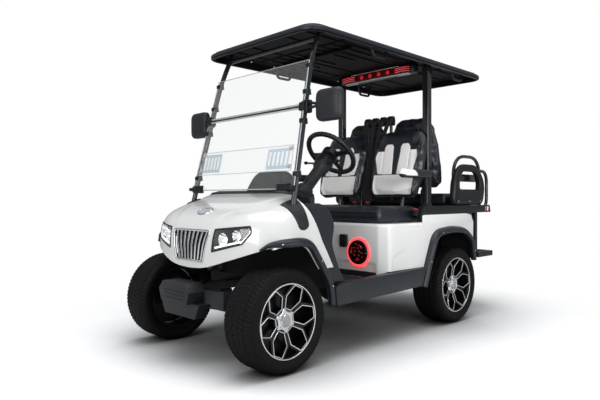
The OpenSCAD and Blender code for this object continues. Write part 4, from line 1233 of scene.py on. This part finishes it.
def build_steering():
    """A ring with section |a/15.5|^2.3 + |b/14.5|^2.3 = 1, swelling by 0.05 cos(36 f), three spokes and a
    turned pad, on a column."""
    f = turns(120)
    ring = np.column_stack([circle(RIM_R, 120), np.zeros(120)])
    grip = sweep(ring, oval(15.5, 14.5, 2.3, 24), (0, 0, 1), closed=True)
    centre = ring[:, None]
    grip = centre + (grip - centre) * (1 + 0.05 * np.cos(f * 36)[:, None, None])
    wheel = Shape(FRONT).ring(on_hub(grip))
    for a in (90, 180, 270):
        c, s = math.cos(math.radians(a)), math.sin(math.radians(a))
        r = np.linspace(38, 152, 14)
        wide = 21 - 6 * step(r, 50, 110) + 4 * step(r, 130, 152)
        drop = -10 + 8 * step(r, 60, 150)
        side = rectangle(2, 1, 0.4, 3)
        rings = np.stack([np.column_stack([np.full(len(side), x), side * [w, 12] + [0, d]]) for x, w,
                          d in zip(r, wide, drop)])
        p = np.stack([rings[..., 0] * c - rings[..., 1] * s, rings[..., 0] * s + rings[..., 1] * c,
                      rings[..., 2]], -1)
        wheel.solid(on_hub(p))
    pad = rotated_profile([(44, -32), (52, -28), (54, -6), (53, 6), (47, 12), (30, 15), (0.01, 15.5)], 48)
    wheel.grid(on_hub(pad), around=True).fill(on_hub(pad[:, 0]))
    wheel.make("steering_wheel_rim", TRIM, "steering_wheel", "dark_plastic", ("steering_wheel",), smooth=50)
    badge = rotated_profile([(22, 13), (22, 17), (19, 18.5), (0.01, 18.6)], 32)
    Shape(FRONT).grid(on_hub(badge), around=True).make(
        "steering_wheel_cap", GREY_STRIP, "steering_wheel", "dark_plastic", smooth=50)
    foot, way = COLUMN_FOOT, HUB - COLUMN_FOOT
    share = np.array([-0.04, 0.0, 0.25, 0.55, 0.62, 0.80, 0.86])
    size = np.array([36, 36, 35, 35, 50, 54, 40])
    path = foot + share[:, None] * way
    column = Shape(FRONT).solid(sweep(path, oval(1, 0.9, 2.8, 32), (0, 1, 0), grow=size))
    for side in (-1, 1):
        tip = foot + 0.5 * way + 0.2 * way + np.array([10.0, side * 135, 18])
        start = foot + 0.5 * way + 0.2 * way + np.array([0.0, side * 30, 0])
        column.tube(np.stack([start, (start + tip) / 2 + [0, 0, 6], tip]), oval(7, 6, 2.4, 14), (0, 0, 1))
        column.dome(tip - np.array([0, side * 6, 0]), 11, 22, (0.05, side, 0.12), n=18)
    collar = np.stack([foot - 0.05 * way, foot + 0.12 * way])
    column.tube(collar, 50, (0, 1, 0), n=32)
    column.make("steering_column_shroud", TRIM, slot="dark_plastic", replaces=("steering_column",), smooth=40)


def build_dash():
    """The dash: one section swept across the cart, its ends drawn forward in plan by 0.97(|y|-325), with cup
    holders and trays cut out."""
    section = evenly(rounded([(-245, 905), (-245, 936), (-300, 950), (-332, 935), (-470, 900), (-470, 752),
                              (-400, 672), (-385, 640), (-345, 640),
                              (-280, 820)], 12, 5, closed=True), 150, closed=True)
    y = np.linspace(-509, 509, 61)[:, None]
    x = np.maximum(section[:, 0], -470 + 0.97 * np.maximum(np.abs(y) - 325, 0))
    z = np.minimum(section[:, 1], 950 - 46 * step(np.abs(y), 380, 460))
    body = Shape(FRONT).solid(np.stack(np.broadcast_arrays(x, y, z), -1))
    dash = carve(body, "dash_moulding", [
        Shape(FRONT).plate(circle(40, 48) + [-420, -50], 840, 960, 0, flat).mirrored(),
        Shape(FRONT).plate(rectangle(172, 90, 14, 5) + [236, 815], -490, -360, 0, facing).mirrored()])
    dress(dash, FLARE, replaces=("dashboard",), smooth=32)
    y = np.linspace(-70, 275, 26)
    arc = 1 - np.abs((y - 102) / 172.5) ** 5
    u = np.linspace(0, 1, 16)
    rows = []
    for yy, a in zip(y, arc):
        top = 948 + 118 * max(a, 0.0) ** 0.5
        x = -262 - 138 * u
        z = 930 + (top - 930) * np.sin(np.clip(u * 1.9, 0, 1) * math.pi / 2) ** 0.8 - 26 * step(u, 0.72, 1.0)
        rows.append(np.stack([x, np.full(16, yy), z], 1))
    top = np.stack(rows)
    base = top.copy()
    base[..., 2] = 922
    Shape(FRONT).solid(np.concatenate([top, base[:, ::-1]], axis=1)).make(
        "dash_instrument_hood", TRIM, slot="dark_plastic", smooth=50)
    Shape(FRONT).plate(rectangle(250, 74, 14, 5) + [102, 992], -406, -398, 3, facing).make(
        "dash_display_bezel", MOULD, slot="dark_plastic")
    Shape(FRONT).plate(rectangle(170, 54, 6, 4) + [112, 992], -408.5, -405, 1, facing).make(
        "dash_display_glass", RIM, slot="dark_plastic")
    small = Shape(FRONT)
    for yy in (-110, -60, 60, 110):
        small.plate(rectangle(34, 22, 4, 3) + [yy, 820], -477, -468, 2, facing)
    small.make("dash_switches", RIM, slot="dark_plastic")
    trays = Shape(FRONT)
    for side in (-1, 1):
        outer = evenly(rectangle(194, 112, 18, 6) + [side * 236, 815], 96, closed=True)
        inner = evenly(rectangle(172, 90, 14, 6) + [side * 236, 815], 96, closed=True)
        steps = ((-466, outer), (-474, outer), (-476, (outer + inner) / 2), (-474, inner), (-466, inner))
        ring = np.stack([np.column_stack([np.full(96, x), q]) for x, q in steps])
        trays.ring(ring)
    trays.make("dash_tray_frames", TRIM, slot="dark_plastic")
    cups = Shape(FRONT)
    for yy in (-50, 50):
        ring = rotated_profile([(40.5, 897), (40.5, 916), (43, 919), (48, 917), (49, 897)], 48)
        cups.ring(ring + np.array([-420.0, yy, 0.0]))
    cups.make("cup_holder_rims", TRIM, slot="dark_plastic")


# ---- body tub -------------------------------------------------------------------------

DECK, FLOOR, TUB_FRONT = 735.0, 390.0, 820.0


def build_pod():
    """The tub under the seats: rolled top edge, bevelled front corners and a crease that climbs towards the
    rear wheel."""
    half = evenly(rounded([(820, 0), (820, 518), (792, 583), (755, 590), (-262, 590)], 9, 6), 190)
    outline = np.concatenate([half, (half * [1, -1])[::-1][:-1]])
    turn = np.linspace(0, math.pi / 2, 8)[1:]
    z = np.concatenate([np.linspace(FLOOR, DECK - 22, 44), DECK - 22 + 22 * np.sin(turn)])
    inset = np.concatenate([np.zeros(44), 12 * (1 - np.cos(turn))])
    rings = []
    for h, d in zip(z, inset):
        q = shrunk(outline, d)
        x, y = q[:, 0], q[:, 1]
        flank = step(np.abs(y), 560, 588) * step(770 - x, 0, 30)
        line = 500 + (TUB_FRONT - x) * 0.34
        hollow = 7.0 * step(line - h, -7, 7) * step(x, 560, 700) * step(790 - x, 0, 20) * step(h, 400, 430)
        waist = 2.5 * (1 - step(np.abs(h - 705), 3, 9)) * step(x, 440, 470)
        y = y - np.sign(y) * flank * (hollow + waist)
        lip = step(482 - h, -7, 7) * step(h, 400, 430)
        x = x - 6.0 * lip * step(x, 800, 815) * (1 - step(np.abs(y), 480, 505))
        rings.append(np.stack([x, y, np.full(len(x), h)], 1))
    solid = Shape(REAR).solid(np.stack(rings))
    inner = [(812, 506), (772, 577), (-300, 577), (-300, -577), (772, -577), (812, -506)]
    room = np.concatenate([lowered(arch(REAR_ARCH), 0.0), [(-262, 300), (480, 300)]])
    pod = carve(solid, "pod_shell", [
        Shape(REAR).plate(inner, 330, DECK - 4, 0, flat),
        Shape(REAR).plate(room, -720, 720, 0),
        Shape(REAR).plate([(-300, 300), (860, 300), (860, 437), (-300, 437)], 563, 720, 0).mirrored(),
        Shape(REAR).plate([(300, -400), (770, -400), (770, 400), (300, 400)], DECK - 8, DECK + 8, 0, flat)])
    dress(pod, [PAINT, TRIM], replaces=("seat_pod",), smooth=38)
    dark_inside(pod, (REAR + 0.25, 0, 0.5), REAR)
    Shape(REAR).plate(rectangle(1010, 36, 6, 4) + [0, 410], 813, 823, 2, facing).make(
        "pod_kick_strip", MOULD, slot="dark_plastic")
    path = lowered(arch(REAR_ARCH), 2.0)
    section = [(0, 330.0), (0, 587.0), (4, 587.0), (4, 330.0)]
    p = np.stack([np.insert(lowered(path, -d), 1, y, axis=1) for d, y in section], 1)
    Shape(REAR).solid(p).mirrored().make("rear_wheel_liners", IRON, slot="black_plastic")


def build_knee_panels():
    """The cheeks beside the footwell: from the hood's rear edge back to a waisted outline, lying on the
    nose's skin |y/590|^8 + ((z-420)/508)^2.985 = 1."""
    z = np.concatenate([np.linspace(434, 510, 16), np.linspace(512, 870, 56)])[:, None]
    back = rounded([(-455, 430), (-414, 495), (-366, 612), (-362, 655), (-378, 700), (-398, 755), (-389, 815),
                    (-376, 850), (-340, 868), (-290, 885)], 36, 7)
    rear = np.interp(z, back[:, 1], back[:, 0])
    front = np.interp(z, [430, 510.5, 511.5, 664, 880], [-353, -301, -361, -281, -210])
    u = np.linspace(0, 1, 22)[None]
    x = front + (rear - front) * (1 - (1 - u) ** 2.2)
    skin = HALF * (1 - ((z - NOSE_LOW) / 508) ** 2.985) ** 0.125
    y = skin - 0.3 - 10 * (1 - np.sqrt(1 - (1 - np.clip((x - rear) / 12, 0, 1)) ** 2))
    p = np.stack(np.broadcast_arrays(x, y, z), -1)
    p[..., 1] = np.maximum(p[..., 1], 500)
    inner = np.zeros_like(p)
    inner[..., 1] = 498 - p[..., 1]
    Shape(FRONT).solid(thick(p, inner)).mirrored().make(
        "knee_cheeks", FLARE, slot="dark_plastic", replaces=("knee_panels",), smooth=35)


def build_speakers():
    """A ringed speaker with red lights on each side of the footwell, and a covered charging socket."""
    y, z = 364.0, 548.0

    def disc(profile):
        p = rotated_profile(profile, 72)
        return np.stack([TUB_FRONT + p[..., 2], y + p[..., 0], z + p[..., 1]], -1)
    Shape(REAR).ring(disc([(80, 0), (80, 6), (83, 9), (90, 9), (95, 6), (96, 0)])).mirrored().make(
        "speaker_rings", RED_GLOW, slot="lamp", replaces=("speakers",), smooth=60)
    Shape(REAR).grid(disc([(79, 0), (79, 12), (76, 16), (70, 17), (40, 15), (20, 14), (0.01, 14)]),
                     around=True).mirrored().make(
        "speaker_grilles", RIM, slot="dark_plastic", smooth=60)
    spots = Shape(REAR)
    for k in range(12):
        a, r = 2.4 * k + 0.5, 17 + 3.4 * k
        spots.dome((834.5, y + r * math.cos(a), z + r * math.sin(a)), 6.0, 3, (1, 0, 0), n=10)
    for a0 in (0.6, 2.5, 4.4):
        a = np.linspace(a0, a0 + 0.8, 8)
        path = np.stack([np.full(8, 835.0), y + 50 * np.cos(a), z + 50 * np.sin(a)], 1)
        spots.tube(path, oval(3, 5, 2.4, 10), (1, 0, 0))
    spots.mirrored().make("speaker_lights", RED_LENS, slot="red_lamp", smooth=60)
    socket = Shape(REAR).plate(rectangle(62, 84, 12, 5) + [244, 618], 819, 838, 4, facing)
    socket.plate(rectangle(40, 44, 8, 4) + [244, 612], 836, 842, 2, facing)
    socket.plate(rectangle(24, 9, 3, 3) + [244, 651], 836, 841, 1.5, facing)
    socket.make("charging_socket_cap", TRIM, slot="dark_plastic", replaces=("charging_socket",))
    screws = Shape(REAR)
    for dy in (-24, 24):
        for dz in (-34, 34):
            screws.dome((838, 244 + dy, 618 + dz), 2.6, 1.4, (1, 0, 0), n=10)
    screws.make("charging_socket_screws", CHROME, slot="chrome", smooth=60)


build_steering()
build_dash()
build_pod()
build_knee_panels()
build_speakers()

# ---- seats ----------------------------------------------------------------------------


def cushion_mesh(low, high, r):
    """A block from corner to corner with round edges: each point p of its faces becomes core + r unit(p -
    core)."""
    low, high = np.asarray(low, float), np.asarray(high, float)
    half, centre = (high - low) / 2, (high + low) / 2
    counts = np.clip((half / half.min() * 10).astype(int), 10, 40)
    r = min(r, half.min() * 0.98)
    block = Shape(REAR)
    for axis in range(3):
        a, b = [(1, 2), (2, 0), (0, 1)][axis]
        u, v = np.meshgrid(*[np.linspace(-1, 1, counts[k] * 2 + 1) for k in (a, b)], indexing="ij")
        for side in (-1, 1):
            p = np.zeros(u.shape + (3,))
            p[..., a], p[..., b], p[..., axis] = u, v, side
            p = p * half
            core = np.clip(p, r - half, half - r)
            block.grid(core + unit(p - core) * r + centre)
    return block


CLOTH_FRAMES = 20


def inflate(obj, lift, size, cap):
    """Blows a pad up like a stuffed cover: an even remesh, then a cloth under pressure from inside.

    No point moves further than the cap, in metres.
    """
    remesh = obj.modifiers.new("even", "REMESH")
    remesh.mode, remesh.voxel_size, remesh.use_smooth_shade = "VOXEL", size, True
    bake(obj)
    before = points_of(obj)
    cloth = obj.modifiers.new("stuffing", "CLOTH").settings
    cloth.use_pressure, cloth.uniform_pressure_force = True, lift
    cloth.quality, cloth.mass = 5, 0.35
    cloth.tension_stiffness = cloth.compression_stiffness = 30.0
    cloth.shear_stiffness, cloth.bending_stiffness = 12.0, 1.2
    cloth.effector_weights.gravity = 0.0
    for frame_number in range(1, CLOTH_FRAMES + 1):
        bpy.context.scene.frame_set(frame_number)
    bake(obj)
    after = points_of(obj)
    move = after - before
    length = np.linalg.norm(move, axis=1, keepdims=True)
    after = before + move * np.minimum(1.0, cap / np.maximum(length, 1e-9))
    obj.data.vertices.foreach_set("co", after.astype(np.float32).ravel())
    bpy.context.scene.frame_set(1)


def points_of(obj):
    """Places of a piece's points, in metres."""
    co = np.empty(len(obj.data.vertices) * 3, np.float32)
    obj.data.vertices.foreach_get("co", co)
    return co.reshape(-1, 3).astype(float)


def set_points(obj, p):
    """Moves a piece's points."""
    obj.data.vertices.foreach_set("co", p.astype(np.float32).ravel())
    obj.data.update()


def normals_of(obj):
    """Normals at a piece's points."""
    n = np.empty(len(obj.data.vertices) * 3, np.float32)
    obj.data.vertices.foreach_get("normal", n)
    return n.reshape(-1, 3).astype(float)


def pad(name, shape, lift, cap, size):
    """A stuffed pad made from a closed shape."""
    obj = bpy.data.objects.new(name, shape.mesh(name))
    bpy.context.scene.collection.objects.link(obj)
    inflate(obj, lift, size, cap)
    return obj


def groove(distance, width, depth):
    """Depth of a stitched seam at a distance from its line: depth * exp(-(d/width)^2)."""
    return depth * np.exp(-(distance / width) ** 2)


def clip_box(p, low, high):
    """Keeps points within a box by pressing them onto its sides."""
    return np.clip(p, np.asarray(low) * MM, np.asarray(high) * MM)


def band_path(points, t):
    """Width of a back at the heights t, from a table of (height, width)."""
    return np.interp(t, *np.transpose(points))


def mark(obj, values):
    """Stores where the second colour of a finish starts, as the point attribute `panel`."""
    layer = obj.data.attributes.new("panel", "FLOAT", "POINT")
    layer.data.foreach_set("value", np.asarray(values, np.float32))


def local(p):
    """Millimetres from the rear axle of points in metres."""
    return p / MM - [REAR / MM, 0, 0]


def pair(left, name, looks, node):
    """Adds the mirror image of a left pad, and dresses both."""
    right = bpy.data.objects.new(name, left.data.copy())
    right.data.flip_normals()
    set_points(right, points_of(left) * [1, -1, 1])
    for obj in (left, right):
        dress(obj, looks, replaces=(node,), smooth=180)


def on_back(back, u, v, w):
    """Points given as u across a leaning back, v up it and w out of its face. A back is (pivot, lean, way it
    looks)."""
    pivot, lean, way = back
    c, s = math.cos(lean), math.sin(lean)
    return np.stack([pivot[0] + way * w * c - v * s, pivot[1] + u, pivot[2] + v * c + way * w * s], -1)


def back_axes(back, p):
    """u, v and w of points in metres."""
    pivot, lean, way = back
    c, s = math.cos(lean), math.sin(lean)
    x, y, z = (local(p) - pivot).T
    return y, -x * s + z * c, way * (x * c + z * s)


BACK_HALF = [(-262, 176), (-235, 206), (-120, 228), (0, 235), (100, 231), (190, 210), (232, 184), (256, 148)]


def build_front_backs():
    """Two high backs with side bolsters and pale inserts; sections |u/h|^4 + |w/37|^3.2 = 1, nearly."""
    back = np.array([235.0, 262.0, 1150.0]), math.radians(14), 1
    v = np.linspace(-260, 254, 62)
    half = band_path(BACK_HALF, v)
    f = turns(56)
    end = np.clip(1 - (np.abs(v + 3) / 261) ** 12, 0.02, 1) ** 0.5
    rings = []
    for vv, h, e in zip(v, half, end):
        u = (h - 6) * signed(np.cos(f), 0.5)
        w = 37 * e * signed(np.sin(f), 0.62)
        share = np.abs(u) / max(h, 1)
        bolster = 20 * step(share, 0.70, 0.88) * (1 - step(share, 0.94, 1.0)) * step(190 - vv, 0, 80) * e
        w = np.where(w > 0, w + bolster - 7 * (1 - share ** 2) * step(190 - vv, 0, 90) * e, w)
        rings.append(on_back(back, u, vv, w))
    shape = Shape(REAR).solid(np.stack(rings))
    left = pad("front_back_left", shape, 3.0, 0.012, 0.007)
    p = points_of(left)
    u, v, w = back_axes(back, p)
    u = np.abs(u)
    stripes = np.minimum.reduce([u - 20 - 12 * step(v, -110, 120), 112 - u,
                                 138 - v - 26 * step(np.abs(u - 70), 20, 46), v + 90])
    lower = np.minimum.reduce([172 - u - 14 * step(-v, 190, 260), -96 - v, v + 238])
    wedge = np.minimum.reduce([u - 118, 182 - u - 0.25 * np.abs(v - 40), 88 - v, v + 86])
    panel = np.maximum.reduce([stripes, lower, wedge])
    seams = groove(panel, 4.0, 4.0) + groove((u - 190) + 400 * (np.abs(v) > 200), 5.0, 4.5)
    depth = seams * step(w, 2, 14) + groove(w - 4, 3.5, 2.6)
    set_points(left, p - normals_of(left) * (depth * MM)[:, None])
    mark(left, np.where(w > 3, panel, -5.0))
    pair(left, "front_back_right", TWO_TONE, "front_backrests")


def build_rear_backs():
    """Two plain backs that look to the rear, with the same kind of section as the front ones."""
    back = np.array([-60.0, 225.0, 1240.0]), math.radians(-14), -1
    v = np.linspace(-276, 276, 60)
    half = band_path([(-280, 140), (-240, 186), (-100, 208), (60, 210), (190, 190), (250, 152), (280, 100)],
                     v)
    f = turns(56)[None]
    end = np.clip(1 - (np.abs(v) / 280) ** 10, 0.02, 1)[:, None] ** 0.5
    u, w = (half[:, None] - 6) * signed(np.cos(f), 0.5), 36 * end * signed(np.sin(f), 0.62)
    rings = on_back(back, *np.broadcast_arrays(u, v[:, None], w))
    left = pad("rear_back_left", Shape(REAR).solid(rings), 3.0, 0.012, 0.007)
    p = points_of(left)
    u, v, w = back_axes(back, p)
    u = np.abs(u)
    seams = groove(u - 118, 4.0, 4.0) * (np.abs(v) < 190)
    seams += groove(np.minimum(np.abs(v - 40), np.abs(v + 100)), 4.0, 3.5) * (u < 118)
    seams += groove(np.abs(v) - 190, 4.0, 3.5) * (u < 120)
    depth = seams * step(w, 2, 14) + groove(w, 3.5, 2.6)
    set_points(left, p - normals_of(left) * (depth * MM)[:, None])
    pair(left, "rear_back_right", VINYL, "rear_backrests")


def build_benches():
    """Front and rear benches: a seam round the waist, a welt along the top edge and two shallow seats."""
    for name, low, high, body, front in (("front_bench", (342, -528, 737), (809, 528, 843), "front_cushion",
                                          1),
                                         ("rear_bench", (-459, -489, 843.5), (-41, 489, 932), "chassis", -1)):
        block = cushion_mesh(np.array(low) + [5, 6, 2], np.array(high) - [5, 6, 8], 34 if front == 1 else 28)
        obj = pad(name, block, 2.5, 0.010, 0.008)
        p = points_of(obj)
        x, y, z = local(p).T
        n = normals_of(obj)
        side = step(1 - np.abs(n[:, 2]), 0.5, 0.9)
        top = step(n[:, 2], 0.5, 0.9)
        waist = (low[2] + high[2]) / 2 + 6
        edge = high[0] - 62 if front == 1 else low[0] + 58
        dip = 7 * np.exp(-((np.abs(y) - 262) / 150) ** 4) * step(np.minimum(x - low[0], high[0] - x), 40, 150)
        welts = groove(x - edge, 4.5, 4.0) + groove(np.abs(y) - (high[1] - 60), 4.5,
                                                    3.5) * ((x - edge) * front < 0)
        seams = groove(z - waist, 4.0, 3.5) * side + welts * top
        p = p - n * (seams * MM)[:, None]
        p[:, 2] -= dip * top * MM
        p = clip_box(p, np.array(low) + [REAR / MM, 0, 0], np.array(high) + [REAR / MM, 0, 0])
        set_points(obj, p)
        dress(obj, VINYL, body, ("front_cushion",) if front == 1 else ("rear_cushion",), smooth=180)


def build_front_armrests():
    """Arm pads: black, with a pale front half that wraps over the nose."""
    left = pad("front_arm_pad_left", cushion_mesh((289, 539, 1030), (641, 593, 1090), 26), 2.0, 0.006, 0.005)
    p = points_of(left)
    x, _, z = local(p).T
    split = x - 487 - 0.8 * (z - 1060)
    under = z - 1044 - 10 * step(x, 595, 641)
    panel = np.minimum(split, under)
    p = p - normals_of(left) * (groove(panel, 3.0, 2.2) * MM)[:, None]
    p = clip_box(p, [286 + REAR / MM, 537, 1028], [644 + REAR / MM, 595, 1092])
    set_points(left, p)
    mark(left, panel)
    pair(left, "front_arm_pad_right", TWO_TONE, "front_armrests")
    posts = Shape(REAR)
    path = evenly(rounded([(325, 566, 842.2), (325, 566, 960), (336, 566, 1034)], 30, 6), 20)
    posts.tube(path, oval(24, 14, 3.2, 28), (0, 1, 0))
    posts.plate(rounded([(290, 842.2), (360, 842.2), (352, 862), (298, 862)], 5, closed=True), 550, 582, 2)
    posts.plate(rounded([(384, 737), (432, 737), (432, 800), (404, 842), (384, 842)], 8, closed=True), 546,
                588, 3)
    posts.mirrored().make(
        "front_arm_posts", TRIM, slot="dark_plastic", replaces=("front_armrests",), smooth=45)


build_front_backs()
build_rear_backs()
build_benches()
build_front_armrests()

# ---- rear end, rails and small parts -----------------------------------------------------


def build_rear_arms():
    """Rear armrests: an oval section carried round the hole, as wide at each angle as the space between hole
    and outline."""
    outer = rounded([(0, 842.6), (-10, 960), (-30, 1060), (-120, 1150), (-350, 1150), (-450, 1060),
                     (-470, 960), (-450, 842.6)], 60, 9, closed=True)
    hole = rounded([(-90, 962), (-92, 1030), (-150, 1095), (-330, 1095), (-393, 1030), (-395, 962)], 30, 7,
                   closed=True)
    centre = np.array([-240.0, 1015.0])
    a = turns(160)
    way = circle(1, 160)
    far, near = polar(outer, centre, a), polar(hole, centre, a)
    mid, wide = (far + near) / 2, (far - near) / 2
    f = turns(28)
    c, s = signed(np.cos(f), 0.62), signed(np.sin(f), 0.62)
    r = mid[:, None] + wide[:, None] * c[None]
    thin = 27.0 - 7 * step(way[:, 1], -0.2, 0.7)
    p = np.stack([centre[0] + r * way[:, :1], 557.5 + thin[:, None] * s[None], centre[1] + r * way[:, 1:]],
                 -1)
    Shape(REAR).ring(p).mirrored().make(
        "rear_arm_loops", TRIM, slot="dark_plastic", replaces=("rear_armrests",), smooth=50)
    feet = Shape(REAR)
    for x in (-60, -225, -390):
        feet.dome((x, 584.5, 872), 5, 2.5, (0, 1, 0), n=14)
    feet.mirrored().make("rear_arm_bolts", CHROME, slot="chrome", smooth=50)


def build_hoops():
    """Rear grab hoops and roof handles: tubes along rounded lines."""
    tall = [(-120, 735), (-120, 1140), (-210, 1215), (-440, 1215), (-519, 1130), (-519, 836)]
    tail = [(-519, 1110), (-600, 1110), (-640, 1060), (-640, 860), (-600, 815), (-538, 815)]
    tubes = Shape(REAR)
    for points, r in ((tall, 80), (tail, 46)):
        path = evenly(rounded(points, r, 10), 70)
        tubes.tube(np.stack([path[:, 0], np.full(len(path), 505.0), path[:, 1]], 1), 13, (0, 1, 0), n=20)
    tubes.plate(rectangle(372, 58, 16, 5) + [-320, 1050], 500, 510, 3)
    tubes.mirrored().make("rear_hoop_tubes", TUBE, slot="frame_paint", replaces=("grab_hoops",), smooth=60)
    handles = Shape(0)
    for x in (-955 + FRONT / MM, -260 + REAR / MM):
        path = evenly(rounded([(x - 90, 1883), (x - 84, 1872), (x - 58, 1810), (x + 58, 1810), (x + 84, 1872),
                               (x + 90, 1883)], 16, 6), 40)
        handles.tube(np.stack([path[:, 0], np.full(40, 455.0), path[:, 1]], 1), oval(9.5, 9.5, 2.6, 18),
                     (0, 1, 0))
        for side in (-1, 1):
            handles.plate(rectangle(40, 30, 8, 4) + [x + side * 92, 455], 1874, 1882, 2, flat)
    handles.mirrored().make("roof_handles", TRIM, slot="dark_plastic", replaces=("grab_handles",), smooth=45)


def build_sound_bar():
    """The bar under the roof: dark front with four red lights, bent red stripes at both ends and pale strips
    above and below."""
    Shape(REAR).plate(rectangle(88, 700, 24, 7) + [140, 0], 1821, 1882, 8, flat).make(
        "sound_bar_case", TRIM, slot="black_plastic", replaces=("sound_bar",), smooth=35)
    Shape(REAR).plate(rectangle(640, 50, 8, 4) + [0, 1851], 182, 185, 1.4, facing).make(
        "sound_bar_front", DEEP_RED, slot="red_lamp")
    lights, discs = Shape(REAR), Shape(REAR)
    for y in (-126, -42, 42, 126):
        discs.dome((184, y, 1851), 17, 5, (1, 0, 0), n=28)
    discs.make("sound_bar_discs", DIM_RED, slot="red_lamp", smooth=60)
    for side in (-1, 1):
        for z in (1836, 1850, 1864):
            y = side * np.array([196, 250, 286, 322])
            path = np.stack([np.array([185, 185.5, 185, 183]), y, z + np.array([0, 2.5, 1, -3.5])], 1)
            lights.tube(evenly(path, 12), oval(2.6, 3.6, 2.4, 10), (1, 0, 0))
    lights.make("sound_bar_stripes", PINK_RED, slot="red_lamp", smooth=60)
    strips = Shape(REAR)
    strips.plate(rectangle(26, 560, 6, 4) + [172, 0], 1817.5, 1822, 1.5, flat)
    for y in (-250, 250):
        strips.plate(rectangle(52, 110, 14, 5) + [154, y], 1815.5, 1821, 2, flat)
    strips.plate(rectangle(8, 460, 3, 3) + [187, 0], 1876, 1881, 1.5, flat)
    strips.make("sound_bar_strips", GREY_STRIP, slot="dark_plastic", smooth=35)


def build_belts():
    """Four belt retractors on a bar behind the front backs, webbing down between the seats, and red-topped
    buckles."""
    cases, webs, tops = Shape(FRONT), Shape(FRONT), Shape(FRONT)
    outline = rounded([(-1590, 1458), (-1532, 1458), (-1528, 1500), (-1546, 1528), (-1584, 1528),
                       (-1592, 1500)], 10, closed=True)
    for y in (-118, -44, 34, 104):
        cases.plate(outline, y - 20, y + 20, 4)
        way = [(-1534, y, 1490), (-1500, y * 0.75, 1380), (-1432, y * 0.3 + (8 if y > 0 else -8), 1120),
               (-1404, y * 0.28, 880)]
        path = evenly(rounded(way, 120, 8), 50)
        webs.solid(sweep(path, rectangle(40, 2.2, 0.9, 2), (1, 0, 0.25)))
    cases.tube([(-1562, -150, 1466), (-1562, 0, 1466), (-1562, 135, 1466)], 12, (0, 0, 1))
    for y in (-118, 104):
        cases.tube(evenly([(-1562, y, 1466), (-1562, y, 880)], 8), 12, (0, 1, 0))
    cases.make("belt_retractors", TRIM, slot="dark_plastic", smooth=40)
    webs.make("belt_webbing", STRAP, slot="vinyl", smooth=40)
    holders = Shape(FRONT)
    for y in (560, -560, 60, -60):
        x, z = (-1212, 806) if abs(y) > 500 else (-1330, 852)
        holders.plate(rounded([(x - 20, z - 26), (x + 22, z - 26), (x + 26, z + 14), (x - 14, z + 14)], 4,
                              closed=True), y - 15, y + 15, 3)
        tops.plate(rounded([(x - 10, z + 13), (x + 23, z + 13), (x + 24, z + 20), (x - 9, z + 20)], 2,
                           closed=True), y - 11, y + 11, 1)
    holders.make("belt_buckles", TRIM, slot="dark_plastic", smooth=40)
    tops.make("belt_buttons", BUCKLE, slot="red_lamp", smooth=40)


def build_side_skirts():
    """White side panels between the tub and the rear rails, a pale blank label on the rail and the rear
    lamps' frames."""
    panel = rounded([(424, 712), (424, 783), (-150, 783), (-232, 772), (-262, 712)], 14, 6, closed=True)
    Shape(REAR).plate(panel, 580.6, 590.4, 2).mirrored().make(
        "tub_shoulders", PAINT, slot="white_paint", smooth=35)
    Shape(REAR).plate(rectangle(52, 32, 4, 3) + [-478, 815], 589.8, 590.9, 0.4).make(
        "rail_label", PALE, slot="dark_plastic")
    Shape(REAR).plate(rectangle(24, 30, 3, 3) + [-466, 815], 590.6, 591.5, 0.3).make(
        "rail_label_patch", BUCKLE, slot="red_lamp")
    Shape(REAR).plate(rectangle(66, 106, 10, 5) + [490, 650], -300, -293, 2, facing).mirrored().make(
        "tail_lamp_frames", TRIM, slot="dark_plastic")


def build_floor():
    """Ribbed mats: ridges 3 mm high across the floor on each side of the middle, and ridges across the rear
    step.
    """
    x = np.linspace(-432, -760, 130)
    lift = 2.6 * (np.abs(np.sin(np.linspace(0, math.pi * 26, 130))) ** 0.6)
    for name, y0, y1 in (("left", 24, 500), ("right", -500, -24)):
        top = np.stack([np.stack([x, np.full(130, y), 391.0 + lift], 1) for y in np.linspace(y0, y1, 4)])
        base = top.copy()
        base[..., 2] = 389.5
        Shape(FRONT).solid(np.concatenate([top, base[::-1]], axis=0).transpose(1, 0, 2)).make(
            "floor_mat_" + name, MATTING, slot="floor_mat", smooth=50)
    ridges = Shape(REAR)
    for k in range(7):
        ridges.plate(rectangle(8, 900, 3, 3) + [-735 + k * 26, 0], 461, 465, 1.2, flat)
    ridges.make("step_ridges", MATTING, slot="dark_plastic", smooth=40)


def build_bumper():
    """The snout and its wings, with soft edges, and three slats of a lower grille."""
    softened("front_bumper", MOULD, 9, segments=4)
    slats = Shape(FRONT)
    for z in (352, 372, 392):
        slats.plate(rectangle(196, 7, 2, 3) + [0, z], 298, 301.5, 1, facing)
    slats.make("bumper_slats", TRIM, slot="dark_plastic")


for node, look, width, slot in (
        ("rockers", FLARE, 7, "black_plastic"), ("seat_rails", TRIM, 5, "black_plastic"),
        ("rear_panel", TRIM, 3, "black_plastic"), ("rear_step", MOULD, 5, "dark_plastic"),
        ("rear_posts", TUBE, 6, "frame_paint"), ("tail_lamps", RED_LENS, 5, "red_lamp"),
        ("floor_pan", MATTING, 2, "floor_mat"), ("pedals", TRIM, 3, "dark_plastic"),
        ("battery", CASE, 6, "battery_case")):
    softened(node, look, width)
build_rear_arms()
build_hoops()
build_sound_bar()
build_belts()
build_side_skirts()
build_floor()
build_bumper()

# ---- CAD nodes that stay, in their own finishes ---------------------------------------

KEPT = {
    "frame_rails": TRIM, "crossmembers": TRIM, "front_axle": IRON, "rear_axle": IRON, "leaf_springs": IRON,
    "motor": IRON, "knuckle_left": IRON, "knuckle_right": IRON, "tie_rod": IRON,
    "seat_frame": TUBE, "seat_hinges": IRON,
}
for node, look in KEPT.items():
    for spot in nodes[node].material_slots:
        spot.material = look
